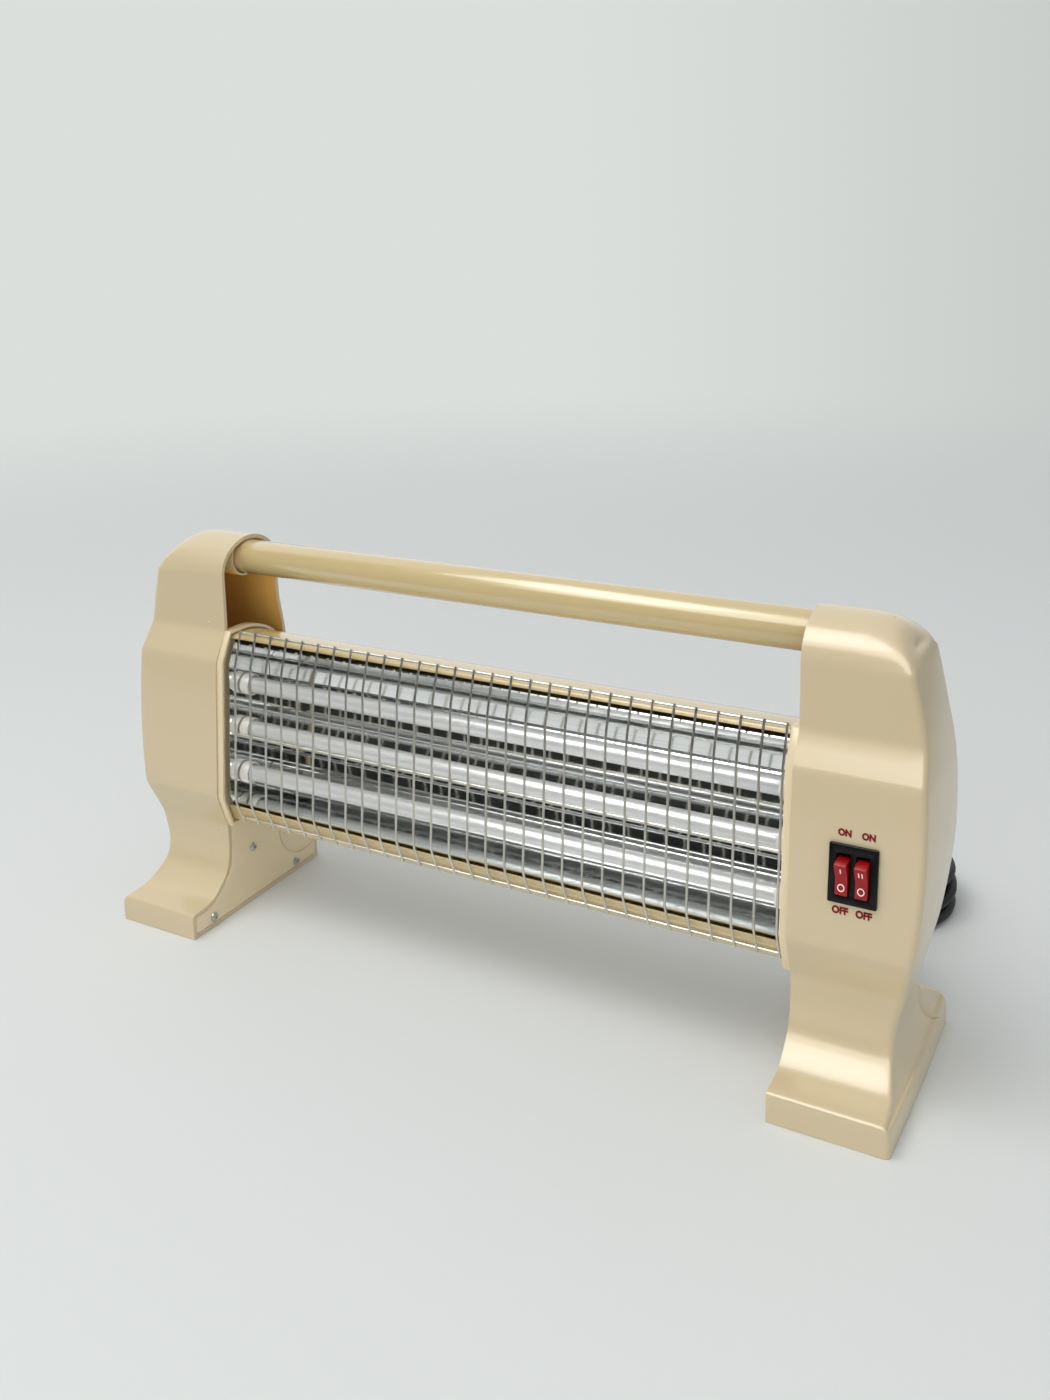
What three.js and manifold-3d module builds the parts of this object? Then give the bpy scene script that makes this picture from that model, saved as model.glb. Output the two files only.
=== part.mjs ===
// Portable three-tube quartz heater: two moulded end casings joined by a tubular handle and by a
// sheet-steel body with a polished reflector, a wire grille and a two-way rocker switch.
// Millimetres. X runs along the heater, +X to the switch end; -Y is the front; +Z is up.
// The origin is on the floor, midway between the casings and midway between toe and heel.

import * as THREE from 'three';
import { mergeVertices } from 'three/addons/utils/BufferGeometryUtils.js';
import Module from 'manifold-3d';

const wasm = await Module();
wasm.setup();

// ---------------------------------------------------------------- driving dimensions

const HALF_SPAN = 192.7;        // casing's inner face
const WALL = 2.6;               // moulded plastic wall
const FIT = 0.35;               // clearance between pieces that meet
const CORNER = 9;               // rounding of a casing's upright edges
const BOW = 1;                  // extra bulge of the outer wall at mid depth
const LEG_DEPTH = 129;          // toe to heel
const TOP = 252.4;              // floor to the top of the casings

// Casing outlines as [height, position]: front and back edges in Y, outer wall in X.
const TOE = -LEG_DEPTH / 2;
const HEEL = LEG_DEPTH / 2;
const HANDLE_Y = 12.5;
const FRONT = [
  [0, TOE], [13.5, TOE], [16.6, -61.5], [17, -53], [18.5, -45], [24, -37.5], [32.5, -29.5],
  [45, -26.5], [63, -26], [85.5, -34.5], [176, -26.5], [194, -15.8], [236, -14.9],
  [246, -6.5], [251.4, 3.5], [TOP, HANDLE_Y - 1],
];
const BACK = [
  [0, HEEL], [16, HEEL], [19.5, 62], [25, 54], [34, 40], [39, 31.5], [42.5, 26],
  [46, 23.8], [60, 23.5], [72, 25.5], [88, 31.5], [103, 38.5], [117, 43.5], [135, 46.5],
  [160, 46.5], [185, 43.5], [205, 39.8], [236, 39.8], [246, 31.5], [251.4, 21.5],
  [TOP, HANDLE_Y + 1],
];
const OUTER = [
  [0, 255.5], [12, 255.3], [22, 250.5], [34, 247.4], [45, 248], [66, 253], [88, 257.8],
  [126, 261.2], [147, 261.3], [176, 260], [204, 256], [236, 248.6], [245, 245], [250, 239.5],
  [TOP, 232],
];
// Round recess behind each leg, on both sides of the heel: its axis as [y, z], and on the outside a
// floor that leans outwards until it meets the outer wall.
const RECESS = [50, 38];
const RECESS_R = 25.4;
const RECESS_FLOOR = 243;       // floor's X beside the leg
const RECESS_LEAN = [0.368, -0.18];   // floor's slope along Y and Z
const COVER_RECESS = 1.2;       // depth on the inside

const BEND_REACH = 4;           // how far a softened bend reaches along its sides
const BEND_STEPS = 2;

// Body: the closed outline of the collar that the casing's inner cover puts round the body's end.
const BODY_BOTTOM = 63;
const BODY_TOP = 194.5;
const ARCH_FOOT = 158;          // height where the body's back turns into its arched top
const COLLAR_WALL = 2;
const COLLAR_PROUD = 4.4;       // how far the collar stands in from the casing's inner face
const SHEET = 1.2;

const HANDLE_R = 11.4;
const HANDLE_WALL = 1.2;
const HANDLE_Z = 238;
const HANDLE_END = 232.6;
const BOSS_END = 196;           // moulded boss that the handle's end sits in
const BOSS_ROOT = 233;
const BOSS_WALL = 1.6;

const POSTS = [[-45.3, 7], [-3.3, 37.9], [40.3, 7.3]];   // screw posts in each leg, as [y, z]
const POST_NAMES = ['front', 'middle', 'back'];
const POST_R = 3.5;
const POST_BORE_END = 216;
const SCREW_R = 1.4;
const SCREW_HEAD_R = 3.2;
const SCREW_HEAD_HEIGHT = 1.3;
const SCREW_SHANK_END = 212;

const TUBES = [[-5, 156], [-8, 126.5], [-11, 96.5]];     // quartz tubes, as [y, z]
const TUBE_NAMES = ['top', 'middle', 'bottom'];
const TUBE_R = 5.5;
const TUBE_WALL = 1.1;
const TUBE_END = 184;
const CAP_R = 7.2;
const CAP_INNER_END = 180.5;
const CAP_OUTER_END = 187;
const CAP_NECK_R = 3.9;
const CAP_NECK_END = 194;
const COIL_R = 2.8;
const COIL_TAIL = 12;           // straight wire at each end of a heating coil
const COIL_TAIL_R = 0.8;
const TERMINAL_R = 1.8;
const TERMINAL_END = 201;

const WIRE_R = 1;
const WIRE_COUNT = 30;
const WIRE_FIRST = -178.2;
const WIRE_LAST = 186.9;
const GRILLE = [[-16.9, 197], [-24.5, 175], [-32.5, 86], [-26.1, 69.2]];   // as [y, z]
const LONG_WIRE_HEIGHTS = [195.2, 129.9, 71];
const WELD_SET = 1.7;           // long wires' distance behind the uprights, a little under a diameter
const LONG_WIRE_ENDS = [-180.4, 187.9];

const SWITCH_X = 226.3;
const SWITCH_Z = 127.9;
const BEZEL = [25, 31];
const SWITCH_BODY = [21.4, 27.4];
const SWITCH_DEPTH = 24;
const WINDOW = [7, 21.2];
const WINDOW_DEPTH = 9;
const DIVIDER = 3.1;
const ROCKER_WIDTH = 6.4;
const ROCKER_HALF = 8.6;
const ROCKER_TILT = THREE.MathUtils.degToRad(13);
const PIVOT_DEPTH = 1.5;
const ROCKER_RISE = 6.3;

const CORD_D = 6.6;
const CORD_R = CORD_D / 2;
const GLAND = [222, 54];        // as [x, z] on the right casing's back wall
const GLAND_HOLE_R = 6.5;
const GLAND_TAIL = 28;
const LOOP_CENTRE = [188, 184];
const LOOP_MEAN = 38.6;         // mean radius of the coiled cord's turns
const LOOP_LAYERS = 4;
const LOOP_TURNS = 6 + 125 / 360;
const LOOP_START = THREE.MathUtils.degToRad(-35);
const LOOP_PITCH = 7.4;         // turn to turn, and layer to layer below
const LAYER_PITCH = 7.3;
const LOOP_LIFT = 1.4;          // room under the coil for its tie
const LOOP_STEPS = 24;
const PLUG_AXIS_Z = 19;

// Free cord from the strain relief down to the floor and along to the coil.
const CORD_ROUTE = [
  [222, 54.4, 54], [222, 60, 54], [221.6, 67, 53.4], [220.8, 74, 51.2], [219.6, 81, 47.3],
  [218.2, 88, 41.8], [216.8, 95, 35.5], [215.4, 102, 28.9], [214.2, 109, 22.3], [213.4, 116, 16.3],
  [213, 123, 11.2], [213.2, 130, 7.6], [214.1, 137, 5.5], [215.9, 144, 4.75],
];
// Short end of cord from the coil's top layer to the plug.
const TAIL_ROUTE = [
  [170, 227, 24.9], [163, 225, 22.7], [156, 222.4, 20.4], [149, 220.8, 19.1], [145, 220.7, 19],
  [142.1, 220.7, 19],
];

// ---------------------------------------------------------------- shape helpers

function solidOf(geometry) {
  const bare = geometry.clone();
  for (const name of ['normal', 'uv']) bare.deleteAttribute(name);
  const merged = mergeVertices(bare, 1e-4);
  return new wasm.Manifold(new wasm.Mesh({
    numProp: 3,
    vertProperties: new Float32Array(merged.attributes.position.array),
    triVerts: new Uint32Array(merged.index.array),
  }));
}

function geometryOf(solid) {
  const mesh = solid.getMesh();
  const geometry = new THREE.BufferGeometry();
  geometry.setAttribute('position', new THREE.BufferAttribute(mesh.vertProperties.slice(), 3));
  geometry.setIndex(new THREE.BufferAttribute(mesh.triVerts.slice(), 1));
  return geometry;
}

function combine(start, added = [], removed = []) {
  let solid = solidOf(start);
  for (const piece of added) solid = solid.add(solidOf(piece));
  for (const piece of removed) solid = solid.subtract(solidOf(piece));
  return geometryOf(solid);
}

// Mirrors a shape to the other end of the heater, keeping its faces outward.
function mirrored(geometry) {
  const copy = mergeVertices(geometry.clone().scale(-1, 1, 1));
  const { array } = copy.index;
  for (let i = 0; i < array.length; i += 3) {
    [array[i], array[i + 1]] = [array[i + 1], array[i]];
  }
  return copy;
}

// A closed skin through rings of equal point counts, with flat ends.
function loft(rings) {
  const count = rings[0].length;
  const index = [];
  for (let r = 0; r + 1 < rings.length; r++) {
    for (let i = 0; i < count; i++) {
      const a = r * count + i;
      const b = r * count + (i + 1) % count;
      index.push(a, b, b + count, a, b + count, a + count);
    }
  }
  const last = (rings.length - 1) * count;
  for (let i = 1; i + 1 < count; i++) {
    index.push(0, i + 1, i, last, last + i, last + i + 1);
  }
  const geometry = new THREE.BufferGeometry();
  geometry.setAttribute('position', new THREE.Float32BufferAttribute(rings.flat(2), 3));
  geometry.setIndex(index);
  return geometry;
}

// A plate or bar whose outline lies in Y-Z, from x0 to x1.
function slab(outline, x0, x1, holes = []) {
  const shape = new THREE.Shape(outline.map(([y, z]) => new THREE.Vector2(y, z)));
  shape.holes = holes.map((hole) => new THREE.Path(hole.map(([y, z]) => new THREE.Vector2(y, z))));
  const geometry = new THREE.ExtrudeGeometry(shape, { depth: x1 - x0, bevelEnabled: false });
  geometry.applyMatrix4(new THREE.Matrix4().makeBasis(
    new THREE.Vector3(0, 1, 0), new THREE.Vector3(0, 0, 1), new THREE.Vector3(1, 0, 0)));
  return geometry.translate(x0, 0, 0);
}

function block(x0, x1, y0, y1, z0, z1) {
  return new THREE.BoxGeometry(x1 - x0, y1 - y0, z1 - z0)
    .translate((x0 + x1) / 2, (y0 + y1) / 2, (z0 + z1) / 2);
}

function circle(y, z, radius, sides) {
  return Array.from({ length: sides }, (_, i) => {
    const turn = (i + 0.5) / sides * Math.PI * 2;
    return [y + radius * Math.cos(turn), z + radius * Math.sin(turn)];
  });
}

function rod(x0, x1, y, z, radius, sides = 16) {
  return slab(circle(y, z, radius, sides), x0, x1);
}

function pipe(x0, x1, y, z, outer, inner, sides = 20) {
  return slab(circle(y, z, outer, sides), x0, x1, [circle(y, z, inner, sides)]);
}

// A turned shape about a line along X, from [radius, x] points that start and end on the line.
function turned(profile, y, z, sides = 16) {
  const points = profile.map(([radius, x]) => new THREE.Vector2(radius, x));
  return new THREE.LatheGeometry(points, sides).rotateZ(-Math.PI / 2).translate(0, y, z);
}

function tube(points, radius, sides, steps) {
  const path = new THREE.CatmullRomCurve3(points.map((point) => new THREE.Vector3(...point)));
  const section = new THREE.Shape(circle(0, 0, radius, sides).map((p) => new THREE.Vector2(...p)));
  return new THREE.ExtrudeGeometry(section, { steps, extrudePath: path, bevelEnabled: false });
}

// ---------------------------------------------------------------- casing outline

// Softens the bends of a [height, position] line.
function softened(keys) {
  const path = new THREE.Path().moveTo(...keys[0]);
  for (let i = 1; i + 1 < keys.length; i++) {
    const [before, corner, after] = keys.slice(i - 1, i + 2).map((key) => new THREE.Vector2(...key));
    const entry = corner.clone().lerp(before, Math.min(0.45, BEND_REACH / corner.distanceTo(before)));
    const exit = corner.clone().lerp(after, Math.min(0.45, BEND_REACH / corner.distanceTo(after)));
    path.lineTo(entry.x, entry.y);
    path.quadraticCurveTo(corner.x, corner.y, exit.x, exit.y);
  }
  path.lineTo(...keys[keys.length - 1]);
  return path.getPoints(BEND_STEPS).map((point) => [point.x, point.y]);
}

function positionAt(line, height) {
  if (height <= line[0][0]) return line[0][1];
  for (let i = 0; i + 1 < line.length; i++) {
    const [z0, p0] = line[i];
    const [z1, p1] = line[i + 1];
    if (height <= z1) return p0 + (p1 - p0) * (height - z0) / (z1 - z0);
  }
  return line[line.length - 1][1];
}

const frontLine = softened(FRONT);
const backLine = softened(BACK);
const outerLine = softened(OUTER);

// The outline moved inwards by a wall's thickness, measured square to the wall.
function insetAt(line, height, depth, inward) {
  const samples = 12;
  let best = -Infinity;
  for (let i = -samples; i <= samples; i++) {
    const rise = depth * i / samples;
    const run = Math.sqrt(Math.max(0, depth * depth - rise * rise));
    best = Math.max(best, inward * positionAt(line, height + rise) + run);
  }
  return inward * best;
}

const frontAt = (height, depth = 0) => insetAt(frontLine, height, depth, 1);
const backAt = (height, depth = 0) => insetAt(backLine, height, depth, -1);

// Heights at which the casing's section is drawn, at least the given gap apart.
const OUTSIDE_GAP = 2.4;
const INSIDE_GAP = 4.5;
function levels(low, high, gap) {
  const all = [...frontLine, ...backLine].map(([height]) => height).sort((a, b) => a - b);
  const kept = [low];
  for (const height of all) {
    if (height > kept[kept.length - 1] + gap && height < high - gap / 2) kept.push(height);
  }
  return [...kept, high];
}
const insideLevels = [
  ...levels(WALL, ARCH_FOOT, INSIDE_GAP), ...levels(ARCH_FOOT, TOP - WALL, INSIDE_GAP).slice(1),
];

const CORNER_STEPS = 3;
function casingSection(height, depth, innerX) {
  const front = frontAt(height, depth);
  const back = backAt(height, depth);
  const outer = positionAt(outerLine, height) - depth;
  const fullRadius = CORNER - depth;
  const radius = Math.min(fullRadius, (back - front) / 2 - 0.2);
  const points = [[innerX, front, height]];
  const arc = (centreY, from) => {
    for (let i = 0; i <= CORNER_STEPS; i++) {
      const turn = from + i / CORNER_STEPS * Math.PI / 2;
      points.push([outer - radius + radius * Math.cos(turn), centreY + radius * Math.sin(turn), height]);
    }
  };
  arc(front + radius, -Math.PI / 2);
  points.push([outer + BOW * radius / fullRadius, (front + back) / 2, height]);
  arc(back - radius, 0);
  points.push([innerX, back, height]);
  return points;
}

function casingSolid(heights, depth, innerX) {
  return loft(heights.map((height) => casingSection(height, depth, innerX)));
}

// ---------------------------------------------------------------- body outline

// Moves a closed counter-clockwise outline inwards by the given distance.
function inset(outline, distance) {
  const count = outline.length;
  const normal = (a, b) => new THREE.Vector2(a[1] - b[1], b[0] - a[0]).normalize();
  return outline.map((point, i) => {
    const before = normal(outline[(i + count - 1) % count], point);
    const after = normal(point, outline[(i + 1) % count]);
    const middle = before.clone().add(after);
    const reach = 2 * distance / middle.lengthSq();
    return [point[0] + middle.x * reach, point[1] + middle.y * reach];
  });
}

// An open line of sheet metal given a thickness on its left side.
function sheet(line, thickness) {
  const normal = (a, b) => new THREE.Vector2(a[1] - b[1], b[0] - a[0]).normalize();
  const offset = line.map((point, i) => {
    const before = i > 0 ? normal(line[i - 1], point) : null;
    const after = i + 1 < line.length ? normal(point, line[i + 1]) : before;
    const middle = (before ?? after).clone().add(after);
    const reach = 2 * thickness / middle.lengthSq();
    return [point[0] + middle.x * reach, point[1] + middle.y * reach];
  });
  return [...line, ...offset.reverse()];
}

function arch(backY) {
  const curve = new THREE.CubicBezierCurve(
    new THREE.Vector2(backY, ARCH_FOOT), new THREE.Vector2(36, 184),
    new THREE.Vector2(16, BODY_TOP), new THREE.Vector2(-4, BODY_TOP));
  return curve.getPoints(7).map((point) => [point.x, point.y]);
}

// Counter-clockwise outline of the body: bottom, back, arched top, and the leaning front, which
// is set back from the casing's front by the given distance.
function bodyOutline(setBack) {
  const backHeights = [BODY_BOTTOM, 72, 88, 103, 117, 135];
  return [
    [frontAt(BODY_BOTTOM) + setBack, BODY_BOTTOM],
    ...backHeights.map((height) => [backAt(height) - WALL - FIT, height]),
    ...arch(backAt(ARCH_FOOT) - WALL - FIT),
    [frontAt(194) + setBack, BODY_TOP],
    [frontAt(176) + setBack, 176],
    [frontAt(85.5) + setBack, 85.5],
  ];
}

const body = bodyOutline(0.6);

// Outline of the part of the inner cover that sits inside the casing, up to the arched top.
function coverOutline() {
  const depth = WALL + FIT;
  const heights = [depth, ...insideLevels.slice(1).filter((height) => height < BODY_TOP - 1)];
  const backHeights = heights.filter((height) => height < ARCH_FOOT);
  const back = backHeights.map((height) => [backAt(height, depth), height]);
  const front = heights.map((height) => [frontAt(height, depth), height]).reverse();
  return [...back, ...arch(backAt(ARCH_FOOT, depth)), [frontAt(BODY_TOP, depth), BODY_TOP], ...front];
}

// ---------------------------------------------------------------- finishes

const finish = (color, roughness, metalness = 0, extra = {}) =>
  new THREE.MeshStandardMaterial({ color, roughness, metalness, ...extra });
const finishes = {
  casing: finish(0xd9cba8, 0.38),
  cover: finish(0xd5c6a2, 0.45),
  paint: finish(0xd8c89c, 0.3, 0.1),
  polished: finish(0xd8dad8, 0.08, 1),
  wire: finish(0xb9b8ae, 0.25, 1),
  quartz: finish(0xe8ecec, 0.1, 0, { transparent: true, opacity: 0.5 }),
  element: finish(0x77706a, 0.5, 0.9),
  ceramic: finish(0xf0eee8, 0.5),
  black: finish(0x151515, 0.4),
  red: finish(0xb01a1e, 0.3),
  steel: finish(0xa8a8a4, 0.35, 1),
  brass: finish(0xb8913f, 0.3, 1),
  rubber: finish(0x1a1a1a, 0.6),
  leads: finish(0xd8d4cc, 0.6),
};

const heater = new THREE.Group();
heater.name = 'bar_heater';

function add(name, geometry, material, parent = heater) {
  const mesh = new THREE.Mesh(geometry, material);
  mesh.name = name;
  parent.add(mesh);
  return mesh;
}

// ---------------------------------------------------------------- end casings

const FRONT_LEAN = Math.atan2(frontAt(176) - frontAt(86), 90);
const switchFace = new THREE.Vector3(SWITCH_X, frontAt(SWITCH_Z), SWITCH_Z);

// Moves a shape drawn at the origin, facing -Y, onto the leaning front of the right casing.
const onSwitchFace = (geometry) =>
  geometry.rotateX(-FRONT_LEAN).translate(switchFace.x, switchFace.y, switchFace.z);

// The outside recess, grown all round by the given wall.
function recess(wall) {
  const [slopeY, slopeZ] = RECESS_LEAN;
  const start = slopeY * (RECESS_R - RECESS[0]) - slopeZ * RECESS[1];
  return rod(RECESS_FLOOR - wall, HALF_SPAN + 100, ...RECESS, RECESS_R + wall, 32)
    .applyMatrix4(new THREE.Matrix4().set(1, slopeY, slopeZ, start, 0, 1, 0, 0, 0, 0, 1, 0, 0, 0, 0, 1));
}

const OPEN_PAST = 10;           // how far a cutting shape runs past the face it opens
function outerShell() {
  const outside = casingSolid(levels(0, TOP, OUTSIDE_GAP), 0, HALF_SPAN);
  const hollow = combine(casingSolid(insideLevels, WALL, HALF_SPAN - OPEN_PAST), [], [recess(WALL)]);
  const postX = HALF_SPAN + WALL + 2 * FIT;
  const bossBore = rod(BOSS_END - OPEN_PAST, HANDLE_END + FIT, HANDLE_Y, HANDLE_Z, HANDLE_R + FIT, 24);
  const posts = POSTS.map(([y, z]) => rod(postX, positionAt(outerLine, z) - WALL / 2, y, z, POST_R, 10));
  const postBores = POSTS.map(([y, z]) => rod(postX - OPEN_PAST, POST_BORE_END, y, z, SCREW_R + FIT, 8));
  const boss = rod(BOSS_END, BOSS_ROOT, HANDLE_Y, HANDLE_Z, HANDLE_R + FIT + BOSS_WALL, 24);
  const tub = combine(outside, [], [hollow, recess(0)]);
  return combine(tub, [boss, ...posts], [bossBore, ...postBores]);
}

function rightShell(shell) {
  const slack = 2 * FIT;
  const opening = new THREE.BoxGeometry(SWITCH_BODY[0] + slack, 4 * WALL, SWITCH_BODY[1] + slack);
  const glandHole = new THREE.CylinderGeometry(GLAND_HOLE_R, GLAND_HOLE_R, OPEN_PAST, 16)
    .translate(GLAND[0], backAt(GLAND[1]), GLAND[1]);
  return combine(shell, [], [onSwitchFace(opening), glandHole]);
}

const PLATE_IN = HALF_SPAN - 0.3;      // cover plate's face, just proud of the casing's edge
const PLATE_OUT = PLATE_IN + WALL;
const FACE_IN = PLATE_IN - SHEET;
const COLLAR_IN = HALF_SPAN - COLLAR_PROUD;
const LEAD_WINDOW = [[-20, 84], [4, 84], [10, 168], [-14, 168]];

function innerCover() {
  const plate = slab(coverOutline(), PLATE_IN - 0.01, PLATE_OUT, [LEAD_WINDOW]);
  const face = slab(body, FACE_IN, PLATE_IN, [LEAD_WINDOW]);
  const collar = slab(body, COLLAR_IN, FACE_IN + 0.01, [inset(body, COLLAR_WALL)]);
  const holes = POSTS.map(([y, z]) => rod(PLATE_IN - WALL, PLATE_OUT + WALL, y, z, SCREW_R + FIT, 8));
  const dish = rod(PLATE_IN - WALL, PLATE_IN + COVER_RECESS, ...RECESS, RECESS_R, 32);
  return combine(combine(plate, [], [dish]), [face, collar], holes);
}

const CROSS = [[0.35, 1.5], [1.5, 0.35]];
function coverScrew([y, z]) {
  const seat = PLATE_IN - 0.3;
  const headIn = seat - SCREW_HEAD_HEIGHT;
  const profile = [
    [0, headIn], [SCREW_HEAD_R - 0.9, headIn], [SCREW_HEAD_R, headIn + 0.8], [SCREW_HEAD_R, seat],
    [SCREW_R, seat], [SCREW_R, SCREW_SHANK_END], [0, SCREW_SHANK_END + SCREW_R],
  ];
  const slots = CROSS.map(([dy, dz]) => block(headIn - 1, headIn + 0.7, y - dy, y + dy, z - dz, z + dz));
  return combine(turned(profile, y, z, 12), [], slots);
}

const shell = outerShell();
add('right_outer_shell', rightShell(shell), finishes.casing);
add('left_outer_shell', mirrored(shell), finishes.casing);
const cover = innerCover();
add('right_inner_cover', cover, finishes.cover);
add('left_inner_cover', mirrored(cover), finishes.cover);
POST_NAMES.forEach((place, i) => {
  const screw = coverScrew(POSTS[i]);
  add(`right_cover_screw_${place}`, screw, finishes.steel);
  add(`left_cover_screw_${place}`, mirrored(screw), finishes.steel);
});
add('handle_tube',
  pipe(-HANDLE_END, HANDLE_END, HANDLE_Y, HANDLE_Z, HANDLE_R, HANDLE_R - HANDLE_WALL, 24), finishes.paint);

// ---------------------------------------------------------------- body, reflector and grille

const HOUSING_END = FACE_IN - FIT;
const LIP_SET = 2.6;            // the housing's lips lie behind the grille's long wires
const UPPER_LIP_LOW = 189.3;
const LOWER_LIP_HIGH = 77.5;

const HOUSING_INSET = COLLAR_WALL + 0.9;       // sheet's clearance inside the collar
const housing = inset(bodyOutline(LIP_SET), HOUSING_INSET);

// Point at a height on the straight line between two outline points.
function lipPoint(height, low, high) {
  const share = (height - low[1]) / (high[1] - low[1]);
  return [low[0] + (high[0] - low[0]) * share, height];
}

function bodyHousing() {
  const last = housing.length - 1;
  const upperLip = lipPoint(UPPER_LIP_LOW, housing[last - 1], housing[last - 2]);
  const lowerLip = lipPoint(LOWER_LIP_HIGH, housing[0], housing[last]);
  const line = [lowerLip, ...housing.slice(0, last - 1), upperLip];
  return slab(sheet(line, SHEET), -HOUSING_END, HOUSING_END);
}

// Reflector's section as [y, z]: a bottom panel, a hollow behind each tube and a top panel.
const REFLECTOR = [
  [-23.4, 79.4], [12, 86.5], [18, 92], [13, 97], [12, 107], [17, 112], [20, 126.5], [12, 131],
  [14.5, 144], [20.5, 152.5], [20.5, 163], [14, 170], [-14.2, 187.3],
];
const REFLECTOR_END = 187.4;
const REFLECTOR_SHEET = 0.9;
const END_PLATE_HOLE_R = CAP_NECK_R + 0.5;

function endPlate() {
  const outline = inset(bodyOutline(LIP_SET), HOUSING_INSET + SHEET + FIT);
  const holes = TUBES.map(([y, z]) => circle(y, z, END_PLATE_HOLE_R, 12));
  return slab(outline, REFLECTOR_END + FIT, REFLECTOR_END + FIT + REFLECTOR_SHEET, holes);
}

function bentWire(x) {
  const middle = GRILLE.length - 1;
  const rings = GRILLE.map((point, i) => {
    const before = GRILLE[Math.max(i - 1, 0)];
    const after = GRILLE[Math.min(i + 1, middle)];
    const along = new THREE.Vector2(after[0] - before[0], after[1] - before[1]).normalize();
    return circle(0, 0, WIRE_R, 6).map(([side, out]) =>
      [x + side, point[0] + along.y * out, point[1] - along.x * out]);
  });
  return loft(rings);
}

function grille() {
  const spacing = (WIRE_LAST - WIRE_FIRST) / (WIRE_COUNT - 1);
  const upright = Array.from({ length: WIRE_COUNT }, (_, i) => bentWire(WIRE_FIRST + i * spacing));
  const uprightLine = GRILLE.map(([y, z]) => [z, y]).reverse();
  const long = LONG_WIRE_HEIGHTS.map((height) =>
    rod(...LONG_WIRE_ENDS, positionAt(uprightLine, height) + WELD_SET, height, WIRE_R, 6));
  return combine(long[0], [long[1], long[2], ...upright]);
}

add('body_housing', bodyHousing(), finishes.paint);
add('reflector', slab(sheet(REFLECTOR, REFLECTOR_SHEET), -REFLECTOR_END, REFLECTOR_END), finishes.polished);
const plate = endPlate();
add('right_end_plate', plate, finishes.polished);
add('left_end_plate', mirrored(plate), finishes.polished);
add('grille', grille(), finishes.wire);

// ---------------------------------------------------------------- heating tubes

function ceramicCap(y, z) {
  const bore = TUBE_R + FIT;
  return turned([
    [0, TUBE_END + FIT], [bore, TUBE_END + FIT], [bore, CAP_INNER_END], [CAP_R - 0.8, CAP_INNER_END],
    [CAP_R, CAP_INNER_END + 0.8], [CAP_R, CAP_OUTER_END], [CAP_NECK_R, CAP_OUTER_END],
    [CAP_NECK_R, CAP_NECK_END], [0, CAP_NECK_END],
  ], y, z, 12);
}

function heatingCoil(y, z) {
  const wound = TUBE_END - COIL_TAIL;
  return turned([
    [0, -TUBE_END], [COIL_TAIL_R, -TUBE_END], [COIL_TAIL_R, -wound], [COIL_R, -wound],
    [COIL_R, wound], [COIL_TAIL_R, wound], [COIL_TAIL_R, TUBE_END], [0, TUBE_END],
  ], y, z, 10);
}

const tubeTerminal = ([y, z]) => rod(CAP_NECK_END + 0.3, TERMINAL_END, y, z, TERMINAL_R, 8);

TUBES.forEach(([y, z], i) => {
  const row = TUBE_NAMES[i];
  const capShape = ceramicCap(y, z);
  add(`quartz_tube_${row}`, pipe(-TUBE_END, TUBE_END, y, z, TUBE_R, TUBE_R - TUBE_WALL, 20), finishes.quartz);
  add(`heating_coil_${row}`, heatingCoil(y, z), finishes.element);
  add(`right_ceramic_cap_${row}`, capShape, finishes.ceramic);
  add(`left_ceramic_cap_${row}`, mirrored(capShape), finishes.ceramic);
  add(`right_tube_terminal_${row}`, tubeTerminal(TUBES[i]), finishes.brass);
});

// The left ends of all three tubes share one strip.
const STRIP = [[-14, 92], [-8, 92], [-2, 160.5], [-8, 160.5]];
const STRIP_GAUGE = 1.5;
function linkStrip() {
  const strip = slab(STRIP, TERMINAL_END - STRIP_GAUGE / 3, TERMINAL_END + STRIP_GAUGE * 2 / 3);
  return mirrored(combine(strip, TUBES.map(tubeTerminal)));
}
add('left_link_strip', linkStrip(), finishes.brass);

// ---------------------------------------------------------------- switch

// The switch is drawn facing -Y round the origin; its group leans back with the casing's front.
const switchGroup = new THREE.Group();
switchGroup.position.copy(switchFace);
switchGroup.rotation.x = -FRONT_LEAN;
heater.add(switchGroup);

const ROCKER_X = (WINDOW[0] + DIVIDER) / 2;

function switchFrame() {
  const bezel = block(-BEZEL[0] / 2, BEZEL[0] / 2, -2.3, -FIT, -BEZEL[1] / 2, BEZEL[1] / 2);
  const core = block(-SWITCH_BODY[0] / 2, SWITCH_BODY[0] / 2, -1, SWITCH_DEPTH,
    -SWITCH_BODY[1] / 2, SWITCH_BODY[1] / 2);
  const windows = [-ROCKER_X, ROCKER_X].map((x) => block(x - WINDOW[0] / 2, x + WINDOW[0] / 2,
    -5, WINDOW_DEPTH, -WINDOW[1] / 2, WINDOW[1] / 2));
  return combine(bezel, [core], windows);
}

// A rocker's side outline as [y, z] about its axle, upright, with a shallow V face.
function rockerOutline() {
  const rim = ROCKER_RISE + ROCKER_HALF * Math.tan(ROCKER_TILT);
  return [
    [-ROCKER_RISE, 0], [-rim, -ROCKER_HALF], [-rim + 1.4, -ROCKER_HALF - 0.5], [1.2, -ROCKER_HALF],
    [4.6, -3], [4.6, 3], [1.2, ROCKER_HALF], [-rim + 1.4, ROCKER_HALF + 0.5], [-rim, ROCKER_HALF],
  ];
}

function rocker(x) {
  return slab(rockerOutline(), -ROCKER_WIDTH / 2, ROCKER_WIDTH / 2)
    .rotateX(ROCKER_TILT)
    .translate(x, PIVOT_DEPTH, 0);
}

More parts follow.
